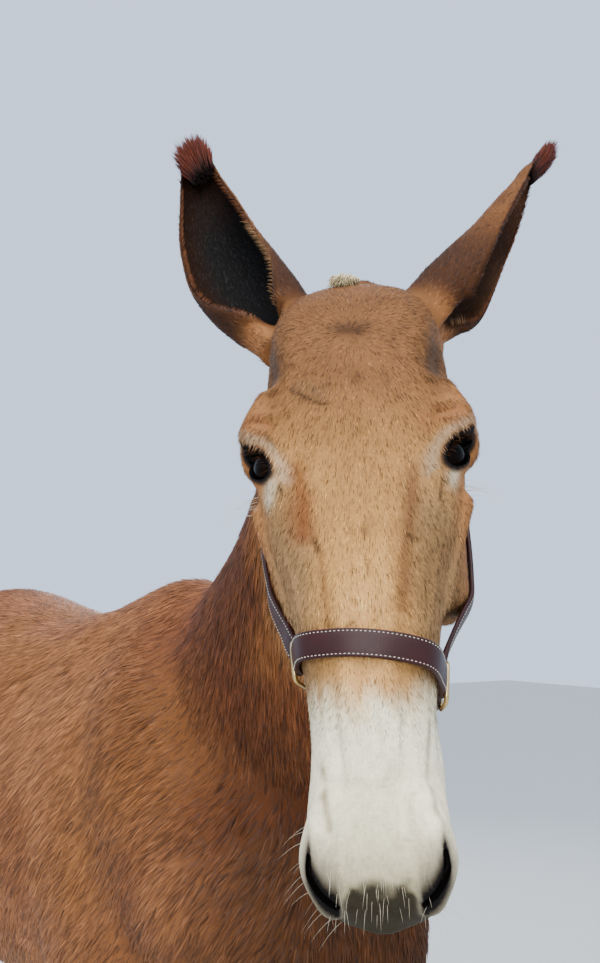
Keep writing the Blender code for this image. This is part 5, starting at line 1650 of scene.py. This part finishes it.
class MULE_OT_ear_hair(bpy.types.Operator):
    """The dark tufts on the ear tips and the pale fringe of the ear rims"""
    bl_idname = "mule.ear_hair"
    bl_label = "Ear hair"

    def execute(self, context):
        look = hair_material("dark_ear_hair", 0.5)
        for name, facts in EARS.items():
            root, axis, open_to, across = (np.array(v) for v in ear_frame(name))
            chance = np.random.default_rng(len(name))
            start, length, flare = facts["tuft"]
            count = EAR_TIP_HAIRS
            angle, far = in_disc(chance, count)
            lean = across * (np.cos(angle) * far)[:, None] + open_to * (0.6 * np.sin(angle) * far)[:, None]
            tip = root + axis * EAR_LENGTH
            low = start + chance.uniform(-0.014, 0.014, count)
            base = tip + axis * low[:, None] + lean * facts["brush"]
            size = length * (1 - 0.25 * far * far) * chance.uniform(0.70, 0.96, count)
            steps = parts(0.0, 0.35, 0.7, 1.0)
            curves = base[:, None] + axis * (size[:, None, None] * steps)
            curves = curves + lean[:, None] * (0.6 * flare * steps ** 1.3)
            roots, tips = (varied(chance, code, count, 0.3) for code in EAR_TUFT_COLOURS)
            grow(name + "_tip_tuft", look, curves, unit(lean + open_to * 0.3), 0.0016, 0.0007, roots, tips,
                 (1.0, 0.9, 0.6, 0.0))

            count = EAR_RIM_HAIRS
            t = chance.uniform(0.08, 0.86, count)
            edge = np.where(chance.uniform(size=count) < 0.5, 1.0, -1.0)
            rows = np.array(spread(EAR, 7))
            place = np.searchsorted(rows[:, 0], t).clip(1, len(rows) - 1)
            middle = np.array([ear_row(name, (v,)) for v in t])
            radius = (rows[place, 1] - rows[place, 3] * 0.5) * facts["wide"]
            half = np.radians(rows[place, 2]) * edge
            base = middle - open_to * (radius * np.cos(half))[:, None]
            base = base + across * (radius * np.sin(half))[:, None]
            inward = unit(middle - base)
            pale = (edge > 0) & (t < 0.55 * facts["pale"])
            size = np.where(pale, chance.uniform(0.007, 0.013, count), chance.uniform(0.004, 0.008, count))
            way = unit(axis * 0.8 + inward * 0.55 + open_to * chance.uniform(-0.1, 0.35, count)[:, None])
            steps = parts(0.0, 0.5, 1.0)
            curves = straight(base, way, size, steps) + inward[:, None] * (0.004 * steps ** 2)
            roots, tips = (
                np.where(pale[:, None], varied(chance, light, count, by), varied(chance, dark, count, 0.2))
                for light, dark, by in zip(RIM_PALE_COLOURS, RIM_DARK_COLOURS, (0.2, 0.25))
            )
            grow(name + "_rim_hair", look, curves, np.tile(open_to, (count, 1)), 0.0009, 0.0004, roots, tips,
                 (1.0, 0.7, 0.0))
        return {"FINISHED"}


class MULE_OT_whiskers(bpy.types.Operator):
    """Long feelers round the muzzle and the eyes, and the lashes"""
    bl_idname = "mule.whiskers"
    bl_label = "Whiskers"

    def execute(self, context):
        look = hair_material("stiff_whisker", 0.45)
        chance = np.random.default_rng(5)
        surface = hides["surface"]
        turn = np.array(HEAD_TURN)
        rows = []
        for side in (1, -1):
            for _ in range(LIP_WHISKERS):
                s = chance.uniform(0.56, 0.665)
                rows.append((
                    side * chance.uniform(0.03, 0.09), chance.uniform(0.06, 0.15), s, side * 1.0,
                    chance.uniform(-0.2, 0.5), chance.uniform(0.1, 0.9), chance.uniform(0.020, 0.040),
                ))
            for _ in range(EYE_WHISKERS):
                rows.append((
                    side * 0.13, 0.055 + chance.uniform(-0.012, 0.012), chance.uniform(0.262, 0.285),
                    side * 1.0, chance.uniform(-0.5, 0.2), chance.uniform(-0.1, 0.5),
                    chance.uniform(0.025, 0.042),
                ))
        for _ in range(CHIN_BRISTLES):
            x = chance.uniform(-0.045, 0.045)
            rows.append((
                x, 0.045, chance.uniform(0.615, 0.655), x * 9 + chance.uniform(-0.3, 0.3),
                chance.uniform(-0.9, -0.2), 1.0, chance.uniform(0.008, 0.020),
            ))
        roots, ways, sizes = [], [], []
        for x, y, s, to_x, to_y, to_s, size in rows:
            if abs(x) > 0.05 or y > 0.05:
                start, inside = head_point(x * 1.6, y, s), head_point(0, y, s)
            else:
                start, inside = head_point(x, -0.05, s), head_point(x, 0.08, s)
            found, normal = surface.ray_cast(start, (inside - start).normalized())[:2]
            if found is None:
                continue
            roots.append(found)
            ways.append(unit(turn @ np.array((to_x, to_y, -to_s)) + np.array(normal) * 0.8))
            sizes.append(size)
        roots, ways, sizes = np.array(roots), np.array(ways), np.array(sizes)
        count = len(roots)
        steps = np.linspace(0, 1, 6)[None, :, None]
        sag = turn @ np.array((0, 0, -1))
        curves = straight(roots, ways, sizes, steps) + sag * (sizes[:, None, None] * 0.35 * steps ** 2)
        pale = varied(chance, WHISKER_COLOUR, count, 0.15)
        grow("whiskers", look, curves, np.tile(turn @ np.array((0, -1, 0)), (count, 1)), 0.00028, 0.0002,
             pale, pale, (1.0, 0.9, 0.8, 0.6, 0.4, 0.0))

        roots, ways, sizes = [], [], []
        for side in (1, -1):
            place = eye_place(side)
            # The upper lid's part of the outline, from one corner to the other
            outline = almond(*EYE_OPENING, side * EYE_SLANT, 240)
            for k in range(14, 106, 3):
                x, y = outline[k]
                z = math.sqrt(max((EYE_RADIUS + LID) ** 2 - x * x - y * y, 0.0001))
                way = Vector((x * 18 + chance.normal(0, 0.12), -0.1 + chance.normal(0, 0.1), 1.0))
                roots.append(place @ Vector((x * 1.02, y * 1.02, z)))
                ways.append((place.to_3x3() @ way).normalized())
                sizes.append(chance.uniform(0.011, 0.019))
        roots, ways, sizes = np.array(roots), np.array(ways), np.array(sizes)
        count = len(roots)
        steps = np.linspace(0, 1, 5)[None, :, None]
        up = turn @ np.array((0, 0, 1))
        curves = straight(roots, ways, sizes, steps) - up * (sizes[:, None, None] * 0.4 * steps ** 2)
        roots, tips = (varied(chance, code, count, 0.2) for code in LASH_COLOURS)
        grow("lashes", look, curves, np.tile(up, (count, 1)), 0.0004, 0.0002, roots, tips,
             (1.0, 0.9, 0.7, 0.4, 0.0))
        return {"FINISHED"}


# The halter

# A strap's section: across from edge to edge, and up through its thickness
STRAP_PROFILE = (
    (-0.93, 0.0), (-0.5, 0.0), (0.0, 0.0), (0.5, 0.0), (0.93, 0.0), (0.985, 0.12), (1.0, 0.5), (0.985, 0.86),
    (0.93, 0.97), (0.86, 1.0), (0.80, 0.96), (0.74, 1.0), (0.4, 1.05), (0.0, 1.07), (-0.4, 1.05),
    (-0.74, 1.0), (-0.80, 0.96), (-0.86, 1.0), (-0.93, 0.97), (-0.985, 0.86), (-1.0, 0.5), (-0.985, 0.12),
)


def skin_height(here, out, reach):
    """How far out of a point the outermost skin within reach lies, along the way out."""
    found, _, _, far = hides["surface"].ray_cast(here + out * reach, -out, 2 * reach)
    return reach - far if found else -reach


def bridged(heights):
    """Heights along a strap, raised where it would span a hollow."""
    for _ in range(12):
        for i in range(1, len(heights) - 1):
            heights[i] = max(heights[i], (heights[i - 1] + heights[i + 1]) / 2)
    return heights


def strap_stations(width, hangs, core_y, core_span, guide):
    """The strap's inner side at close stations: edges and middle, the way out, the way on and the length."""
    places = spread(metres(guide), STRAP_STEPS)
    path = [head_point(*place) for place in places]
    cores = [head_point(0, core_y, min(max(s, core_span[0]), core_span[1])) for _, _, s in places]
    outs = [(here - core).normalized() for here, core in zip(path, cores)]
    last = len(path) - 1
    lines = []
    for across in (-0.5, 0.0, 0.5):
        line = []
        for i, (here, out) in enumerate(zip(path, outs)):
            ahead = (path[min(i + 1, last)] - path[max(i - 1, 0)]).normalized()
            here = here + ahead.cross(out).normalized() * (width * across)
            line.append((here, out, skin_height(here, out, NEAR_REACH if hangs else REACH)))
        heights = bridged([max(0.0, height) if hangs else height for _, _, height in line])
        lines.append([here + out * (height + STRAP_LIFT) for (here, out, _), height in zip(line, heights)])
    rows = spread([(*a, *b, *c, *out) for a, b, c, out in zip(*lines, outs)], FINE_STEPS)
    stations = []
    run = 0.0
    for i, row in enumerate(rows):
        low, middle, high, out = (Vector(row[k:k + 3]) for k in (0, 3, 6, 9))
        before, after = rows[max(i - 1, 0)], rows[min(i + 1, len(rows) - 1)]
        ahead = (Vector(after[3:6]) - Vector(before[3:6])).normalized()
        away = (low - high).cross(ahead).normalized()
        if away.dot(out) < 0:
            away.negate()
        run += (middle - Vector(before[3:6])).length
        stations.append((low, middle, high, away, ahead, run))
    return stations


def on_strap(station, u, height):
    """A point over the strap: u from -1 to 1 across it, and a height over its inner side."""
    low, middle, high, away = station[:4]
    return middle + (high - low) * (u / 2) + ((low + high) / 2 - middle) * (u * u) + away * height


def strap_thickness(run, whole):
    """The strap is doubled where it is folded round its rings, at both ends."""
    fold = (FOLD_LENGTH + FOLD_SLOPE / 2 - min(run, whole - run)) / FOLD_SLOPE
    return STRAP_THICK + (SOFT_FOLD - STRAP_THICK) * float(smooth_step(fold, 0, 1))


def strap_form(name, stations):
    whole = stations[-1][5]
    rings = []
    for i, station in enumerate(stations):
        thick = strap_thickness(station[5], whole)
        ends = [(0.0, 1.0)]
        if i in (0, len(stations) - 1):
            way = -1 if i == 0 else 1
            ends = [(way * math.sin(a) * thick / 2, math.cos(a)) for a in (0, 0.5, 1.0, 1.35)]
            ends = ends[::-1] if i == 0 else ends
        for shift, scale in ends:
            rings.append([
                on_strap(station, u, thick * (0.5 + (v - 0.5) * scale)) + station[4] * shift
                for u, v in STRAP_PROFILE
            ])
    return loft(name, rings)


def wrapped(work, rings, closed=False):
    """Faces round rings of vertices, with flat ends unless the last ring joins the first."""
    count = len(rings[0])
    for one, other in zip(rings, rings[1:] + rings[:1] if closed else rings[1:]):
        for i in range(count):
            j = (i + 1) % count
            work.faces.new((one[i], one[j], other[j], other[i]))
    if not closed:
        work.faces.new(rings[0][::-1])
        work.faces.new(rings[-1])


def stitches(work, stations, pitch):
    """Two rows of stitches along the strap, sunk half into its face."""
    whole = stations[-1][5]
    for u in (-STITCH_ROW, STITCH_ROW):
        line = [(on_strap(s, u, strap_thickness(s[5], whole) * 0.96), s[3]) for s in stations]
        lengths = [0.0]
        for (one, _), (other, _) in zip(line, line[1:]):
            lengths.append(lengths[-1] + (other - one).length)
        points, aways = np.array([p for p, _ in line]), np.array([a for _, a in line])
        for start in np.arange(pitch, lengths[-1] - pitch, pitch):
            rows = []
            for at, scale, lift in STITCH_SHAPE:
                run = start + at * pitch
                here, away, beyond = (
                    Vector([np.interp(place, lengths, values[:, k]) for k in range(3)])
                    for place, values in ((run, points), (run, aways), (run + 0.001, points))
                )
                away.normalize()
                side = (beyond - here).normalized().cross(away)
                size = STITCH_WIDTH / 2 * scale
                rows.append([
                    work.verts.new(here + away * (lift + size * math.sin(a)) + side * (size * math.cos(a)))
                    for a in turned(6)
                ])
            wrapped(work, rows)


def tube(work, path, radius, up, sides=12, closed=False):
    """Adds a round wire along a path."""
    rows = []
    last = len(path) - 1
    for i, here in enumerate(path):
        before = path[i - 1] if closed or i else path[0]
        after = path[(i + 1) % len(path)] if closed else path[min(i + 1, last)]
        side = (after - before).normalized().cross(up).normalized()
        rows.append([
            work.verts.new(here + side * (radius * math.cos(a)) + up * (radius * math.sin(a)))
            for a in turned(sides)
        ])
    wrapped(work, rows, closed)


def fitting(name, place, half, square):
    """A wire ring that lies flat over the head, and in a buckle its bar and tongue."""
    here = head_point(*place)
    normal = hides["surface"].find_nearest(here)[1]
    across = HEAD_UP.cross(normal).normalized()
    up = normal.cross(across)
    height = max(
        skin_height(here + (across * math.cos(a) + up * math.sin(a)) * half * far, normal, REACH)
        for a in turned(12) for far in (0.0, 0.6, 1.1)
    )
    middle = here + normal * (height + RING_LIFT)
    path = []
    for a in turned(48):
        x, y = (math.copysign(abs(v) ** (2 / square), v) for v in (math.cos(a), math.sin(a)))
        path.append(middle + (across * x + up * y) * half)
    work = bmesh.new()
    tube(work, path, WIRE, normal, closed=True)
    if "buckle" in name:
        bar = [middle + across * (half * x) for x in (-1.0, 0.0, 1.0)]
        tube(work, bar, WIRE * 0.8, normal)
        places = ((-0.15, 0.002), (0.4, 0.0034), (1.12, 0.0030))
        tongue = [middle + up * (half * y) + normal * z for y, z in places]
        tube(work, tongue, WIRE * 0.75, across.cross(up))
    bmesh.ops.recalc_face_normals(work, faces=work.faces)
    made = built(name + "_brass", work)
    made.data.shade_smooth()
    return made


def leather_material(settings):
    """Bridle leather: tanned, oiled and burnished, so dark, fine grained and softly shiny."""
    made, tree, shader = new_material(
        "oiled_bridle_leather", Roughness=0.42, IOR=1.5, Specular_IOR_Level=0.25,
    )
    place = add_node(tree, "TexCoord")
    grain = add_node(tree, "TexVoronoi", Vector=place.outputs["Object"], Scale=LEATHER_GRAIN)
    cloud = add_node(tree, "TexNoise", Vector=place.outputs["Object"], Scale=OIL_CLOUDS,
                     Detail=4.0)
    low, high = (tuple(v * share for v in settings.leather) + (1,) for share in (0.62, 1.25))
    blend = add_node(tree, "Mix", {"data_type": "RGBA"}, Factor=cloud.outputs["Fac"], _6=low, _7=high)
    tree.links.new(blend.outputs[2], shader.inputs["Base Color"])
    relief = add_node(tree, "Bump", Strength=0.18, Distance=0.0006, Height=grain.outputs["Distance"])
    tree.links.new(relief.outputs["Normal"], shader.inputs["Normal"])
    return made


class MULE_OT_halter(bpy.types.Operator):
    """Leather straps with their stitching, and brass rings and buckles"""
    bl_idname = "mule.halter"
    bl_label = "Halter"

    def execute(self, context):
        settings = context.scene.mule_halter
        found_hide()
        leather = leather_material(settings)
        # Polyester thread waxed white: matt, and a little fuzzy
        thread = new_material("waxed_white_thread", Base_Color=(*settings.thread, 1), Roughness=0.7)[0]
        # Cast brass, tumbled and then dulled by wear: pale gold, with a gloss that changes from spot to spot
        brass, tree, shader = new_material("worn_cast_brass", Base_Color=(*settings.brass, 1), Metallic=1.0)
        place = add_node(tree, "TexCoord")
        cloud = add_node(tree, "TexNoise", Vector=place.outputs["Object"], Scale=BRASS_WEAR,
                         Detail=4.0)
        wear = add_node(tree, "MapRange", Value=cloud.outputs["Fac"], To_Min=0.22, To_Max=0.42)
        tree.links.new(wear.outputs["Result"], shader.inputs["Roughness"])
        for name, (width, *rest) in HALTER_STRAPS.items():
            stations = strap_stations(width * settings.strap_width / STRAP, *rest)
            strap = strap_form(name + "_leather", stations)
            strap.data.shade_smooth()
            strap.data.set_sharp_from_angle(angle=math.radians(60))
            strap.data.materials.append(leather)
            work = bmesh.new()
            stitches(work, stations, settings.stitch)
            seams = built(name + "_stitching", work)
            seams.data.shade_smooth()
            seams.data.materials.append(thread)
            for made in (strap, seams):
                moved_to_frame(made)
                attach(made, "root")
            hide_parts(name)
        for name, (place, half, square) in HALTER_RINGS.items():
            ring = moved_to_frame(fitting(name, place, half, square))
            ring.data.materials.append(brass)
            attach(ring, "root")
            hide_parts(name)
        return {"FINISHED"}


# The photographed view: its place, its turn and pitch, and its focal length and the picture's height in pixels
CAMERA_PLACE = Vector((-0.9345, -1.720, 1.5))
CAMERA_TURN = math.radians(33.5)
CAMERA_PITCH = math.radians(5.4)
FOCAL_PIXELS = 1200
PICTURE_HEIGHT = 963


class MULE_OT_stage(bpy.types.Operator):
    """Pale floor, soft light and the camera"""
    bl_idname = "mule.stage"
    bl_label = "Stage"

    def execute(self, context):
        settings = context.scene.mule_stage
        work = bmesh.new()
        bmesh.ops.create_grid(work, x_segments=1, y_segments=1, size=14)
        floor = built("studio_floor", work)
        # A floor rolled with matt paint: pale and even, with hardly a cloud in it and no gloss
        look, tree, shader = new_material("matt_painted_floor", Roughness=0.8)
        place = add_node(tree, "TexCoord")
        cloud = add_node(tree, "TexNoise", Vector=place.outputs["Object"], Scale=FLOOR_CLOUDS,
                         Detail=4.0)
        low = tuple(v * 0.96 for v in settings.floor) + (1,)
        blend = add_node(tree, "Mix", {"data_type": "RGBA"}, Factor=cloud.outputs["Fac"],
                         _6=(*settings.floor, 1), _7=low)
        tree.links.new(blend.outputs[2], shader.inputs["Base Color"])
        floor.data.materials.append(look)

        world = bpy.data.worlds.new("soft_sky")
        world.use_nodes = True
        sky = world.node_tree.nodes["Background"]
        sky.inputs["Color"].default_value = (*linear(SKY_COLOUR), 1)
        sky.inputs["Strength"].default_value = 1.70
        context.scene.world = world
        # Each lamp: its place, width and power, and the point that it shines at
        for name, place, size, power, aim in (
            ("overhead", (-1.5, -2.5, 5.0), 5.0, settings.light, (0, -0.2, 1.2)),
            ("front", (-3.6, -4.4, 2.6), 0.8, settings.light * 0.30, (0, -0.5, 1.4)),
            ("back", (3.0, 4.0, 3.6), 3.0, settings.light * 0.30, (0, 0.2, 1.2)),
        ):
            lamp = bpy.data.lights.new(name, "AREA")
            lamp.shape = "DISK"
            lamp.size = size
            lamp.energy = power
            stand = bpy.data.objects.new(name, lamp)
            context.scene.collection.objects.link(stand)
            stand.location = place
            stand.rotation_euler = (Vector(aim) - Vector(place)).to_track_quat("-Z", "Y").to_euler()

        lens = bpy.data.cameras.new("camera")
        lens.sensor_width = 36
        lens.lens = FOCAL_PIXELS * lens.sensor_width / PICTURE_HEIGHT
        camera = bpy.data.objects.new("camera", lens)
        context.scene.collection.objects.link(camera)
        camera.location = CAMERA_PLACE + SHIFT
        flat = Vector((math.sin(CAMERA_TURN), math.cos(CAMERA_TURN), math.tan(CAMERA_PITCH)))
        camera.rotation_euler = flat.to_track_quat("-Z", "Y").to_euler()
        context.scene.camera = camera
        return {"FINISHED"}


class MULE_PT_panel(bpy.types.Panel):
    bl_label = "Mule"
    bl_idname = "MULE_PT_panel"
    bl_space_type = "VIEW_3D"
    bl_region_type = "UI"
    bl_category = "Mule"

    def draw(self, context):
        for group in (context.scene.mule_coat, context.scene.mule_halter, context.scene.mule_stage):
            for name in group.__annotations__:
                self.layout.prop(group, name)
        for operator in OPERATORS:
            self.layout.operator(operator.bl_idname)


OPERATORS = (MULE_OT_skin, MULE_OT_eyes, MULE_OT_hooves, MULE_OT_short_coat, MULE_OT_mane, MULE_OT_ear_hair,
             MULE_OT_whiskers, MULE_OT_halter, MULE_OT_stage)
SETTINGS = {"mule_coat": MuleCoatSettings, "mule_halter": MuleHalterSettings, "mule_stage": MuleStageSettings}


def register():
    for name, group in SETTINGS.items():
        bpy.utils.register_class(group)
        setattr(bpy.types.Scene, name, PointerProperty(type=group))
    for operator in OPERATORS:
        bpy.utils.register_class(operator)
    bpy.utils.register_class(MULE_PT_panel)


def unregister():
    bpy.utils.unregister_class(MULE_PT_panel)
    for operator in reversed(OPERATORS):
        bpy.utils.unregister_class(operator)
    for name, group in SETTINGS.items():
        delattr(bpy.types.Scene, name)
        bpy.utils.unregister_class(group)


def main():
    register()
    for operator in OPERATORS:
        group, name = operator.bl_idname.split(".")
        getattr(getattr(bpy.ops, group), name)()


if __name__ == "__main__":
    main()
